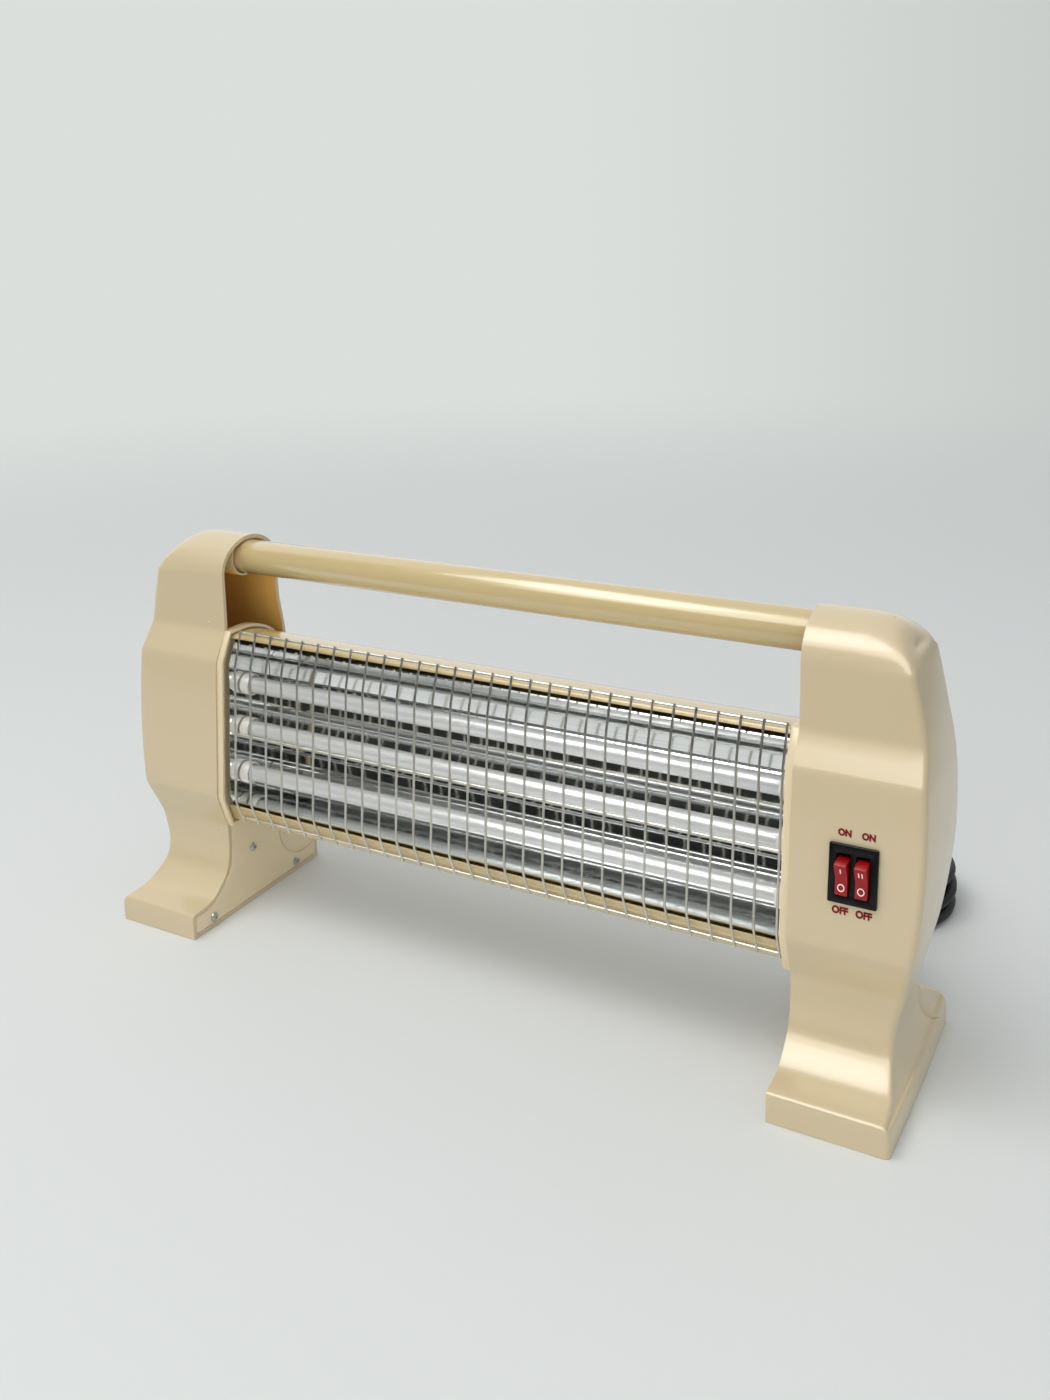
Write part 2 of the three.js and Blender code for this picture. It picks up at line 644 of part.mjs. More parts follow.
const BLADES = [[-ROCKER_X, -7], [-ROCKER_X, 7], [ROCKER_X, -7], [ROCKER_X, 7]];
function switchBlade([x, z]) {
  const back = SWITCH_DEPTH + 0.3;
  return block(x - 0.4, x + 0.4, back, back + 7.5, z - 3.1, z + 3.1);
}

add('switch_frame', switchFrame(), finishes.black, switchGroup);
add('rocker_1', rocker(-ROCKER_X), finishes.red, switchGroup);
add('rocker_2', rocker(ROCKER_X), finishes.red, switchGroup);
BLADES.forEach((place, i) => add(`switch_blade_${i + 1}`, switchBlade(place), finishes.brass, switchGroup));

// ---------------------------------------------------------------- wiring in the right casing

const SUPPLY_LEAD = [[222, 18, 54], [221, 12, 54.5], [218, 7, 56], [213, 3, 58]];
const SUPPLY_LEAD_R = 3;
const HEATER_LEAD_R = 1.3;

function terminalBlock() {
  const x0 = PLATE_OUT + 0.3;
  const wells = [49, 58, 67].map((z) => block(x0 + 5, x0 + 20, -8, 4, z - 3, z + 3));
  return combine(block(x0, x0 + 14, -14, 10, 44, 72), [], wells);
}

add('terminal_block', terminalBlock(), finishes.leads);
add('supply_lead', tube(SUPPLY_LEAD, SUPPLY_LEAD_R, 8, 10), finishes.rubber);
TUBES.forEach(([y, z], i) => {
  const route = [[202, y, z], [205, y, z - 1], [207.5, y + 3, z - 7], [207.5, y + 12, z - 20]];
  add(`heater_lead_${TUBE_NAMES[i]}`, tube(route, HEATER_LEAD_R, 6, 8), finishes.leads);
});

// ---------------------------------------------------------------- mains cord

function strainRelief() {
  const wall = backAt(GLAND[1]);
  const profile = [
    [0, wall - 5], [6, wall - 5], [6, wall + 0.6], [7.4, wall + 0.6], [7.4, wall + 2.4], [5.6, wall + 3.4],
    [4.2, wall + GLAND_TAIL + 2.2], [0, wall + GLAND_TAIL + 2.2],
  ].map(([radius, y]) => new THREE.Vector2(radius, y));
  return new THREE.LatheGeometry(profile, 16).translate(GLAND[0], 0, GLAND[1]);
}

// Centre line of the coiled cord: it spirals in and out at a steady rate, and climbs one layer in the
// half turn round each reversal. Each end runs straight for one cord diameter.
function coilPoints() {
  const perLayer = LOOP_TURNS / LOOP_LAYERS;
  const swing = LOOP_PITCH * perLayer;
  const at = (turns) => {
    const phase = turns / perLayer;
    const fold = Math.abs((phase % 2) - 1);
    const radius = LOOP_MEAN - swing / 2 + swing * fold;
    let level = 0;
    for (let k = 1; k < LOOP_LAYERS; k++) {
      level += THREE.MathUtils.smoothstep(turns, k * perLayer - 0.25, k * perLayer + 0.25);
    }
    const angle = LOOP_START + turns * Math.PI * 2;
    return new THREE.Vector3(LOOP_CENTRE[0] + radius * Math.cos(angle),
      LOOP_CENTRE[1] + radius * Math.sin(angle), CORD_R + LOOP_LIFT + level * LAYER_PITCH);
  };
  const steps = Math.round(LOOP_TURNS * LOOP_STEPS);
  const points = Array.from({ length: steps + 1 }, (_, i) => at(LOOP_TURNS * i / steps));
  const lead = (end, next) => end.clone().add(end.clone().sub(next).setLength(CORD_D));
  return [lead(points[0], points[1]), ...points, lead(points[steps], points[steps - 1])];
}

// A six-sided tube whose rings stand square to the line, flat side down.
function coiledCord(points) {
  const up = new THREE.Vector3(0, 0, 1);
  return loft(points.map((point, i) => {
    const before = points[Math.max(i - 1, 0)];
    const after = points[Math.min(i + 1, points.length - 1)];
    const side = new THREE.Vector3().subVectors(before, after).cross(up).normalize();
    return circle(0, 0, CORD_R, 6).map(([across, rise]) => [
      point.x + side.x * across, point.y + side.y * across, point.z + rise,
    ]);
  }));
}

// Least clear distance between parts of the coil that are at least a quarter turn apart.
function leastGap(points) {
  let least = Infinity;
  const apart = LOOP_STEPS / 4;
  for (let i = 0; i < points.length; i++) {
    for (let j = i + apart; j < points.length; j++) {
      least = Math.min(least, points[i].distanceTo(points[j]) - CORD_D);
    }
  }
  return least;
}

function cordTie(points) {
  const angle = THREE.MathUtils.degToRad(200);
  const swing = LOOP_PITCH * LOOP_TURNS / LOOP_LAYERS / 2;
  const low = LOOP_LIFT - 0.4;
  const high = LOOP_LIFT + CORD_D + (LOOP_LAYERS - 1) * LAYER_PITCH + 0.4;
  const half = swing + CORD_R + 0.5;
  const ring = (grow) => {
    const [w, l, h] = [half + grow, low - grow, high + grow];
    const cut = 2.2;
    return [
      [-w + cut, l], [w - cut, l], [w, l + cut], [w, h - cut],
      [w - cut, h], [-w + cut, h], [-w, h - cut], [-w, l + cut],
    ];
  };
  return slab(ring(0.8), -2.5, 2.5, [ring(0)])
    .rotateZ(angle - Math.PI / 2)
    .translate(LOOP_CENTRE[0] + LOOP_MEAN * Math.cos(angle), LOOP_CENTRE[1] + LOOP_MEAN * Math.sin(angle), 0);
}

// Straight two-pin plug lying on its flat side, pins pointing to -X.
const PLUG_BACK = 141.7;
const PLUG_Y = 220.7;
const PIN_SPACING = 19;
function plugBody() {
  return turned([
    [0, PLUG_BACK - 54], [17.6, PLUG_BACK - 54], [18.6, PLUG_BACK - 53], [18.6, PLUG_BACK - 40],
    [15.5, PLUG_BACK - 36], [14, PLUG_BACK - 24], [9, PLUG_BACK - 18], [5, PLUG_BACK - 15],
    [4.1, PLUG_BACK], [0, PLUG_BACK],
  ], PLUG_Y, PLUG_AXIS_Z, 20);
}

function plugPin(offset) {
  const face = PLUG_BACK - 54.3;
  return turned([[0, face - 19], [1.6, face - 19], [2.4, face - 17], [2.4, face], [0, face]],
    PLUG_Y + offset, PLUG_AXIS_Z, 10);
}

const coil = coilPoints();
console.log('least gap inside the coil, mm:', leastGap(coil.slice(1, -1)).toFixed(2));

// Points that carry the free cord square up to one end of the coil, just clear of it.
function approach(end, next) {
  const away = end.clone().sub(next).normalize();
  return [5, 0.4].map((gap) => end.clone().addScaledVector(away, gap).toArray());
}
const toCoil = approach(coil[0], coil[1]);
const fromCoil = approach(coil[coil.length - 1], coil[coil.length - 2]).reverse();

add('strain_relief', strainRelief(), finishes.rubber);
add('power_cord', tube([...CORD_ROUTE, ...toCoil], CORD_R, 8, 40), finishes.rubber);
add('cord_coil', coiledCord(coil), finishes.rubber);
add('cord_tail', tube([...fromCoil, ...TAIL_ROUTE], CORD_R, 8, 12), finishes.rubber);
add('cord_tie', cordTie(coil), finishes.black);
add('plug_body', plugBody(), finishes.rubber);
add('plug_pin_1', plugPin(-PIN_SPACING / 2), finishes.brass);
add('plug_pin_2', plugPin(PIN_SPACING / 2), finishes.brass);

export default heater;
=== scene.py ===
"""Portable quartz heater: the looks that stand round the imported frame, in metres."""

import math

import bpy
from mathutils import Matrix, Vector


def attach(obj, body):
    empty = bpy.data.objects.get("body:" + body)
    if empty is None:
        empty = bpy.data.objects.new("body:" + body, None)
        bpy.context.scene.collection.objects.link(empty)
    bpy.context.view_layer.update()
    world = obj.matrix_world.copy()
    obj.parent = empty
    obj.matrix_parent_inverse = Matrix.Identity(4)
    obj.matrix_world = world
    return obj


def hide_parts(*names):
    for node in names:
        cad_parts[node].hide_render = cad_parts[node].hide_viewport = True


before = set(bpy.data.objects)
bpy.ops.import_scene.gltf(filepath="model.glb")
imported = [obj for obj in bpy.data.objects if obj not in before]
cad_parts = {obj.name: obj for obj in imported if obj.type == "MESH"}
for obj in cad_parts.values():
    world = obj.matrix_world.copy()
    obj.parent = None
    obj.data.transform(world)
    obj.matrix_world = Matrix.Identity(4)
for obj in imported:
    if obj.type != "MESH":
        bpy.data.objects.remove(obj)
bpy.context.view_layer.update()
MM = 0.001

# ---- camera


CAMERA_PLACE = (0.3933, -0.6517, 0.4633)
CAMERA_TURN = (29.351, 10.723, -1.558)          # yaw, pitch down and roll, in degrees
CAMERA_LENS = 34.59
CAMERA_SHIFT = (-0.0005, -0.173)


def add_camera():
    yaw, pitch, roll = (math.radians(a) for a in CAMERA_TURN)
    ahead = Vector((-math.sin(yaw) * math.cos(pitch), math.cos(yaw) * math.cos(pitch), -math.sin(pitch)))
    side = Vector((math.cos(yaw), math.sin(yaw), 0))
    up = side.cross(ahead)
    right = math.cos(roll) * side + math.sin(roll) * up
    top = math.cos(roll) * up - math.sin(roll) * side
    bpy.ops.object.camera_add(location=CAMERA_PLACE)
    camera = bpy.context.active_object
    turned = Matrix((right, top, -ahead)).transposed().to_4x4()
    camera.matrix_world = Matrix.Translation(camera.location) @ turned
    camera.data.sensor_width = 36
    camera.data.lens = CAMERA_LENS
    camera.data.shift_x, camera.data.shift_y = CAMERA_SHIFT
    bpy.context.scene.camera = camera


add_camera()

# ---- hand tools


def only(obj):
    bpy.ops.object.select_all(action="DESELECT")
    obj.select_set(True)
    bpy.context.view_layer.objects.active = obj


def renamed(obj, name):
    obj.name = obj.data.name = name
    return obj


def named(name):
    return renamed(bpy.context.active_object, name)


def settle(obj):
    """Puts the object at the origin, with its place in its mesh."""
    only(obj)
    bpy.ops.object.transform_apply(location=True, rotation=True, scale=True)
    return obj


def moved(obj, place, angle, axis):
    """Turns a piece about the origin and then moves it by so many millimetres."""
    only(obj)
    obj.matrix_world = Matrix.Translation(Vector(place) * MM) @ Matrix.Rotation(angle, 4, axis)
    return settle(obj)


def open_all(obj):
    """Opens the object in edit mode with everything selected."""
    only(obj)
    bpy.ops.object.mode_set(mode="EDIT")
    bpy.ops.mesh.select_all(action="SELECT")


def pick(obj, kind, test):
    """Leaves the object in edit mode with the vertices, edges or faces selected that pass the test."""
    only(obj)
    bpy.ops.object.mode_set(mode="EDIT")
    bpy.ops.mesh.select_mode(type=kind)
    bpy.ops.mesh.select_all(action="DESELECT")
    bpy.ops.object.mode_set(mode="OBJECT")
    mesh = obj.data
    if kind == "VERT":
        for vertex in mesh.vertices:
            vertex.select = test(vertex.co)
    elif kind == "EDGE":
        for edge in mesh.edges:
            edge.select = test(*(mesh.vertices[i].co for i in edge.vertices))
    else:
        for face in mesh.polygons:
            face.select = test(face.center, face.normal)
    bpy.ops.object.mode_set(mode="EDIT")


def done():
    bpy.ops.object.mode_set(mode="OBJECT")


def modified(obj, kind, **settings):
    only(obj)
    bpy.ops.object.modifier_add(type=kind)
    modifier = obj.modifiers[-1]
    for key, value in settings.items():
        setattr(modifier, key, value)
    bpy.ops.object.modifier_apply(modifier=modifier.name)


def softened(obj, width, segments=2, angle=40):
    """Rounds every edge sharper than the angle."""
    modified(obj, "BEVEL", width=width * MM, segments=segments, limit_method="ANGLE",
             angle_limit=math.radians(angle), use_clamp_overlap=True)


def smooth(obj, angle=35):
    only(obj)
    bpy.ops.object.shade_smooth_by_angle(angle=math.radians(angle))
    return obj


def outward(obj, merge=0.002):
    """Merges points that lie together and turns the faces outwards."""
    open_all(obj)
    bpy.ops.mesh.remove_doubles(threshold=merge * MM)
    bpy.ops.mesh.normals_make_consistent(inside=False)
    done()
    return obj


def draw(name, points):
    """A line of vertices drawn point by point, in millimetres."""
    start = Vector(points[0]) * MM
    bpy.ops.mesh.primitive_plane_add(size=MM, location=start)
    obj = named(name)
    bpy.ops.object.mode_set(mode="EDIT")
    bpy.ops.mesh.select_mode(type="VERT")
    bpy.ops.mesh.merge(type="CENTER")
    for here, there in zip(points, points[1:]):
        step = (Vector(there) - Vector(here)) * MM
        bpy.ops.mesh.extrude_region_move(TRANSFORM_OT_translate={"value": step})
    done()
    return settle(obj)


def pull(obj, x, fill=True):
    """Fills a drawn outline and pulls it along X by so many millimetres."""
    open_all(obj)
    if fill:
        bpy.ops.mesh.edge_face_add()
    bpy.ops.mesh.extrude_region_move(TRANSFORM_OT_translate={"value": (x * MM, 0, 0)})
    done()
    return outward(obj)


def bend(obj, radius, segments, at=lambda p: True):
    """Turns corners of a drawn line into round bends."""
    pick(obj, "VERT", at)
    bpy.ops.mesh.bevel(offset=radius * MM, segments=segments, affect="VERTICES")
    done()


def spun(name, profile, centre, steps=48):
    """A turned piece about a line along X, from [radius, x] points."""
    y, z = centre
    obj = draw(name, [(x, y, z + radius) for radius, x in profile])
    open_all(obj)
    bpy.ops.mesh.spin(steps=steps, angle=2 * math.pi, center=(0, y * MM, z * MM), axis=(1, 0, 0))
    done()
    return outward(obj)


def rod(name, x0, x1, y, z, radius, sides=32, ends="NGON"):
    """A round bar along X."""
    bpy.ops.mesh.primitive_cylinder_add(vertices=sides, radius=radius * MM, depth=(x1 - x0) * MM,
                                        location=((x0 + x1) / 2 * MM, y * MM, z * MM),
                                        rotation=(0, math.pi / 2, 0), end_fill_type=ends)
    return settle(named(name))


def block(name, size, place=(0, 0, 0)):
    """A plain block of so many millimetres about a place."""
    bpy.ops.mesh.primitive_cube_add(size=1, location=[c * MM for c in place])
    obj = named(name)
    obj.scale = [s * MM for s in size]
    return settle(obj)


def joined(*objs):
    if len(objs) == 1:
        return objs[0]
    bpy.ops.object.select_all(action="DESELECT")
    for obj in objs:
        obj.select_set(True)
    bpy.context.view_layer.objects.active = objs[0]
    bpy.ops.object.join()
    return objs[0]


def cut(obj, tool, solver="EXACT"):
    """Takes the tool's shape out of the piece, and the tool with it."""
    modified(obj, "BOOLEAN", object=tool, operation="DIFFERENCE", solver=solver)
    bpy.data.objects.remove(tool)
    return obj


def faceted(obj):
    """Splits faces of many sides, so that flat parts with openings stay flat."""
    modified(obj, "TRIANGULATE", min_vertices=5, ngon_method="BEAUTY")
    return obj


def copied(obj, name, place=(0, 0, 0)):
    """A copy with its own mesh, moved by so many millimetres."""
    copy = obj.copy()
    copy.data = obj.data.copy()
    bpy.context.scene.collection.objects.link(copy)
    copy.location = [c * MM for c in place]
    return settle(renamed(copy, name))


def twin(obj, name):
    """A mirror copy at the other end of the heater."""
    copy = copied(obj, name)
    copy.scale.x = -1
    open_all(settle(copy))
    bpy.ops.mesh.normals_make_consistent(inside=False)
    done()
    return copy


def curve_through(keys, steps=10):
    """A smooth line through the points, which keeps close to them round short bends."""
    ends = [2 * keys[0] - keys[1], *keys, 2 * keys[-1] - keys[-2]]
    line = []
    for a, b, c, d in zip(ends, ends[1:], ends[2:], ends[3:]):
        t = [0]
        for p, q in ((a, b), (b, c), (c, d)):
            t.append(t[-1] + math.sqrt((q - p).length))
        for k in range(steps):
            u = t[1] + (t[2] - t[1]) * k / steps
            ab, bc, cd = (p.lerp(q, (u - t[i]) / (t[i + 1] - t[i])) for i, (p, q) in
                          enumerate(((a, b), (b, c), (c, d))))
            abc = ab.lerp(bc, (u - t[0]) / (t[2] - t[0]))
            bcd = bc.lerp(cd, (u - t[1]) / (t[3] - t[1]))
            line.append(abc.lerp(bcd, (u - t[1]) / (t[2] - t[1])))
    return [*line, keys[-1]]


# ---- finishes


def linear(share):
    return share / 12.92 if share <= 0.04045 else ((share + 0.055) / 1.055) ** 2.4


def tint(red, green, blue):
    """A colour as seen, 0 to 255, in the shader's own scale."""
    return (*(linear(c / 255) for c in (red, green, blue)), 1)


def shade(colour, share):
    """The colour with so much of its light."""
    return (*(c * share for c in colour[:3]), 1)


class Nodes:
    """The nodes of a material or of the air, and short calls to add to them."""

    def __init__(self, owner):
        owner.use_nodes = True
        self.tree = owner.node_tree

    def node(self, kind, sockets=None, **settings):
        made = self.tree.nodes.new(kind)
        for key, value in settings.items():
            setattr(made, key, value)
        self.set(made, sockets or {})
        return made

    def set(self, node, sockets):
        for key, value in sockets.items():
            if isinstance(value, bpy.types.NodeSocket):
                self.tree.links.new(value, node.inputs[key])
            else:
                node.inputs[key].default_value = value

    def math(self, operation, first, second):
        return self.node("ShaderNodeMath", {0: first, 1: second}, operation=operation).outputs[0]

    def ramp(self, value, start, end, low=0.0, high=1.0):
        """A soft step from low to high while the value goes from start to end."""
        return self.node("ShaderNodeMapRange", {
            "Value": value, "From Min": start, "From Max": end, "To Min": low, "To Max": high},
            interpolation_type="SMOOTHSTEP").outputs[0]

    def mixed(self, factor, first, second):
        return self.node("ShaderNodeMixShader", {0: factor, 1: first, 2: second}).outputs[0]


class Finish(Nodes):
    """A material with its shader and a few brushes that work on Object coordinates."""

    def __init__(self, name, colour, roughness, metallic=0.0, **sockets):
        self.material = bpy.data.materials.new(name)
        super().__init__(self.material)
        self.shader = self.tree.nodes["Principled BSDF"]
        self.set(self.shader, {"Base Color": colour, "Roughness": roughness, "Metallic": metallic})
        self.set(self.shader, {key.replace("_", " "): value for key, value in sockets.items()})
        self.place = self.node("ShaderNodeTexCoord").outputs["Object"]

    def stretched(self, x, y, z):
        return self.node("ShaderNodeMapping", {"Vector": self.place, "Scale": (x, y, z)}).outputs[0]

    def noise(self, scale, detail=3, where=None, roughness=0.5, distortion=0.0):
        return self.node("ShaderNodeTexNoise", {
            "Vector": where or self.place, "Scale": scale, "Detail": detail,
            "Roughness": roughness, "Distortion": distortion}).outputs["Fac"]

    def spread(self, value, low, high, start=0.3, end=0.7):
        return self.node("ShaderNodeMapRange", {
            "Value": value, "From Min": start, "From Max": end, "To Min": low, "To Max": high}).outputs[0]

    def blend(self, factor, first, second):
        mix = self.node("ShaderNodeMix", data_type="RGBA")
        self.set(mix, {0: factor, 6: first, 7: second})
        return mix.outputs[2]

    def colour(self, factor, first, second):
        self.set(self.shader, {"Base Color": self.blend(factor, first, second)})

    def rough(self, *spread):
        self.set(self.shader, {"Roughness": self.spread(*spread)})

    def bump(self, height, strength, distance):
        node = self.node("ShaderNodeBump", {
            "Height": height, "Strength": strength, "Distance": distance * MM})
        self.set(self.shader, {"Normal": node.outputs[0]})


def moulding(name, light, dark):
    """Satin plastic: faint clouds and specks in the colour, a fine skin, uneven gloss."""
    finish = Finish(name, light, 0.31, Coat_Weight=0.6, Coat_Roughness=0.1)
    clouds = finish.spread(finish.noise(9, 4), 0, 1, 0.15, 0.85)
    specks = finish.spread(finish.noise(420, 1), 0, 0.4, 0.5, 0.8)
    toned = finish.blend(clouds, light, dark)
    finish.colour(specks, toned, dark)
    finish.rough(finish.noise(38, 5), 0.285, 0.335, 0.15, 0.85)
    finish.bump(finish.noise(600, 3), 0.07, 0.05)
    return finish.material


def enamel(name, light, dark):
    """Sprayed paint on steel: slight orange peel and a clear gloss."""
    finish = Finish(name, light, 0.24, Coat_Weight=1.0, Coat_Roughness=0.1)
    finish.colour(finish.spread(finish.noise(14, 3), 0, 1, 0.15, 0.85), light, dark)
    finish.rough(finish.noise(70, 4), 0.21, 0.265, 0.15, 0.85)
    finish.bump(finish.noise(230, 1), 0.05, 0.04)
    return finish.material


def rolled(name, colour, low, high):
    """Bright rolled aluminium: long drawn streaks and slow waves along the sheet."""
    finish = Finish(name, colour, low, 1.0)
    grain = finish.noise(1, 6, finish.stretched(7, 900, 900), 0.65)
    finish.rough(grain, low, high)
    waves = finish.noise(1, 3, finish.stretched(9, 60, 60), 0.5, 0.6)
    finish.bump(finish.math("ADD", waves, finish.spread(grain, 0, 0.05)), 0.12, 0.5)
    finish.colour(finish.spread(grain, 0, 1), colour, shade(colour, 0.82))
    return finish.material


def plated(name, colour, low, high):
    """Plated or plain metal with a fine, uneven shine."""
    finish = Finish(name, colour, low, 1.0)
    grain = finish.noise(260, 4)
    finish.rough(grain, low, high)
    finish.colour(finish.spread(finish.noise(40, 3), 0, 1), colour, shade(colour, 0.8))
    finish.bump(grain, 0.08, 0.04)
    return finish.material


def quartz():
    """Satin quartz tube: milky, with drawn lines along it and a hard gloss."""
    finish = Finish("satin_quartz", tint(244, 246, 244), 0.22, IOR=2.2, Transmission_Weight=0.2,
                    Coat_Weight=1.0, Coat_Roughness=0.05, Coat_IOR=2.2)
    lines = finish.noise(1, 4, finish.stretched(6, 700, 700), 0.6)
    finish.rough(lines, 0.36, 0.5)
    finish.bump(lines, 0.06, 0.03)
    finish.colour(finish.spread(lines, 0, 1), tint(250, 250, 248), tint(232, 235, 233))
    return finish.material


def glaze():
    """Glazed white ceramic, a little stained."""
    finish = Finish("glazed_ceramic", tint(240, 238, 230), 0.25, Coat_Weight=0.5, Coat_Roughness=0.06)
    stain = finish.spread(finish.noise(120, 4), 0, 1)
    finish.colour(stain, tint(244, 242, 236), tint(226, 221, 208))
    finish.bump(finish.noise(500, 3), 0.12, 0.1)
    return finish.material


def small_moulding(name, colour, low, high, coat=0.0):
    """Plain gloss or matt plastic, rubber or ink with a fine grain."""
    finish = Finish(name, colour, low, Coat_Weight=coat, Coat_Roughness=0.08, Specular_IOR_Level=0.3)
    scale = 800
    finish.rough(finish.noise(scale / 6, 4), low, high)
    lighter = (*(min(1, c * 1.35 + 0.002) for c in colour[:3]), 1)
    finish.colour(finish.spread(finish.noise(scale / 12, 3), 0, 1), colour, lighter)
    finish.bump(finish.noise(scale, 3), 0.12, 0.05)
    return finish.material


def sleeving():
    """Woven glass sleeving: crossing threads round the lead."""
    finish = Finish("glass_sleeving", tint(222, 216, 200), 0.8, Sheen_Weight=0.2)
    weave = finish.node("ShaderNodeTexWave", {
        "Vector": finish.place, "Scale": 420.0, "Distortion": 1.5, "Detail": 2.0}).outputs["Fac"]
    finish.colour(weave, tint(226, 220, 206), tint(188, 180, 160))
    finish.bump(weave, 0.4, 0.15)
    return finish.material


def wound():
    """Oxidised resistance wire."""
    finish = Finish("resistance_wire", tint(120, 112, 104), 0.45, 0.9)
    burnt = finish.spread(finish.noise(300, 4), 0, 1)
    finish.colour(burnt, tint(132, 124, 116), tint(86, 78, 74))
    finish.rough(finish.noise(500, 3), 0.35, 0.6)
    return finish.material


BEIGE = moulding("beige_moulding", tint(210, 193, 157), tint(208, 190, 154))
# The hollow's inward faces get a warmer, brighter copy of the beige: painted bounce light inside the
# pocket.
POCKET_BOUNCE = moulding("inside_painted_bounce", tint(252, 206, 118), tint(250, 202, 112))
# The covers take a lighter copy of the casing's beige, lifted to brighten their shaded faces: painted
# light.
COVER_LIFTED = moulding("cover_moulding_lifted", tint(232, 214, 178), tint(229, 211, 174))
PAINT = enamel("beige_enamel", tint(205, 184, 136), tint(202, 181, 132))
MIRROR = rolled("rolled_aluminium", (0.86, 0.87, 0.86, 1), 0.03, 0.11)
WIRE = plated("bright_wire", (0.78, 0.75, 0.68, 1), 0.28, 0.4)
STEEL = plated("zinc_steel", (0.62, 0.61, 0.57, 1), 0.29, 0.45)
BRASS = plated("plain_brass", (0.72, 0.55, 0.26, 1), 0.29, 0.44)
QUARTZ = quartz()
CERAMIC = glaze()
ELEMENT = wound()
BLACK = small_moulding("black_moulding", tint(8, 8, 9), 0.3, 0.42)
RED = small_moulding("red_moulding", tint(142, 8, 14), 0.28, 0.36, coat=0.2)
RUBBER = small_moulding("cord_rubber", tint(26, 26, 27), 0.42, 0.6)
NYLON = small_moulding("natural_nylon", tint(226, 220, 202), 0.4, 0.55)
SLEEVE = sleeving()
RED_INK = small_moulding("red_ink", tint(112, 12, 16), 0.5, 0.65)
WHITE_INK = small_moulding("white_ink", tint(240, 236, 230), 0.4, 0.55)


def dress(obj, material, slot, *nodes, body="heater"):
    """Gives a finished piece its material and its place in the frame."""
    obj.data.materials.clear()
    obj.data.materials.append(material)
    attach(obj, body)
    if nodes:
        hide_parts(*nodes)
    return obj


# ---- mains cord

CORD_D = 6.6
LOOP_CENTRE = (188, 184)
LOOP_MEAN = 38.6
LOOP_LAYERS = 4
LOOP_TURNS = 6 + 125 / 360
LOOP_START = math.radians(-35)
LOOP_PITCH = 7.4
LAYER_PITCH = 7.3
LOOP_LIFT = 1.4                 # room under the coil for its tie
PLUG_BACK, PLUG_Y, PLUG_Z = 141.7, 220.7, 19
PIN_APART = 19
CORD_ROUTE = [
    (222, 54.4, 54), (222, 60, 54), (221.6, 67, 53.4), (220.8, 74, 51.2), (219.6, 81, 47.3),
    (218.2, 88, 41.8), (216.8, 95, 35.5), (215.4, 102, 28.9), (214.2, 109, 22.3), (213.4, 116, 16.3),
    (213, 123, 11.2), (213.2, 130, 7.6), (214.1, 137, 5.5), (215.9, 144, 4.75),
]
TAIL_ROUTE = [(170, 227, 24.9), (163, 225, 22.7), (156, 222.4, 20.4), (149, 220.8, 19.1),
              (145, 220.7, 19), (142.1, 220.7, 19)]


def eased(value, low, high):
    """0 below the low value, 1 above the high one, and a soft rise between."""
    share = min(1, max(0, (value - low) / (high - low)))
    return share * share * (3 - 2 * share)


def coil_point(turns):
    """A place on the coiled cord's centre line: in and out by turns, a layer up each time."""
    per_layer = LOOP_TURNS / LOOP_LAYERS
    swing = LOOP_PITCH * per_layer
    radius = LOOP_MEAN - swing / 2 + swing * abs((turns / per_layer) % 2 - 1)
    level = sum(eased(turns, k * per_layer - 0.25, k * per_layer + 0.25) for k in range(1, LOOP_LAYERS))
    angle = LOOP_START + turns * 2 * math.pi
    return Vector((LOOP_CENTRE[0] + radius * math.cos(angle), LOOP_CENTRE[1] + radius * math.sin(angle),
                   CORD_D / 2 + LOOP_LIFT + level * LAYER_PITCH))


def cord_path():
    """The cord's centre line from the strain relief round the coil to the plug."""
    around = 48
    steps = round(LOOP_TURNS * around)
    coil = [coil_point(LOOP_TURNS * i / steps) for i in range(steps + 1)]
    free = curve_through([Vector(p) for p in CORD_ROUTE] + coil[:2], 3)[:-6]
    tail = curve_through(coil[-2:] + [Vector(p) for p in TAIL_ROUTE], 3)[4:]
    return free + coil + tail


def tube_along(name, path, diameter, sides=12):
    """A round tube along a line of points, in millimetres."""
    curve = bpy.data.curves.new(name, "CURVE")
    curve.dimensions = "3D"
    curve.bevel_depth = diameter / 2 * MM
    curve.bevel_resolution = max(0, sides // 4 - 1)
    curve.use_fill_caps = True
    spline = curve.splines.new("POLY")
    spline.points.add(len(path) - 1)
    for point, place in zip(spline.points, path):
        point.co = (*(Vector(place) * MM), 1)
    obj = bpy.data.objects.new(name, curve)
    bpy.context.scene.collection.objects.link(obj)
    only(obj)
    bpy.ops.object.convert(target="MESH")
    return smooth(outward(bpy.context.active_object), 50)


def on_coil(obj, angle):
    """Moves a piece made at the origin onto the coil, at an angle round it."""
    x, y = LOOP_CENTRE[0] + LOOP_MEAN * math.cos(angle), LOOP_CENTRE[1] + LOOP_MEAN * math.sin(angle)
    return moved(obj, (x, y, 0), angle - math.pi / 2, "Z")


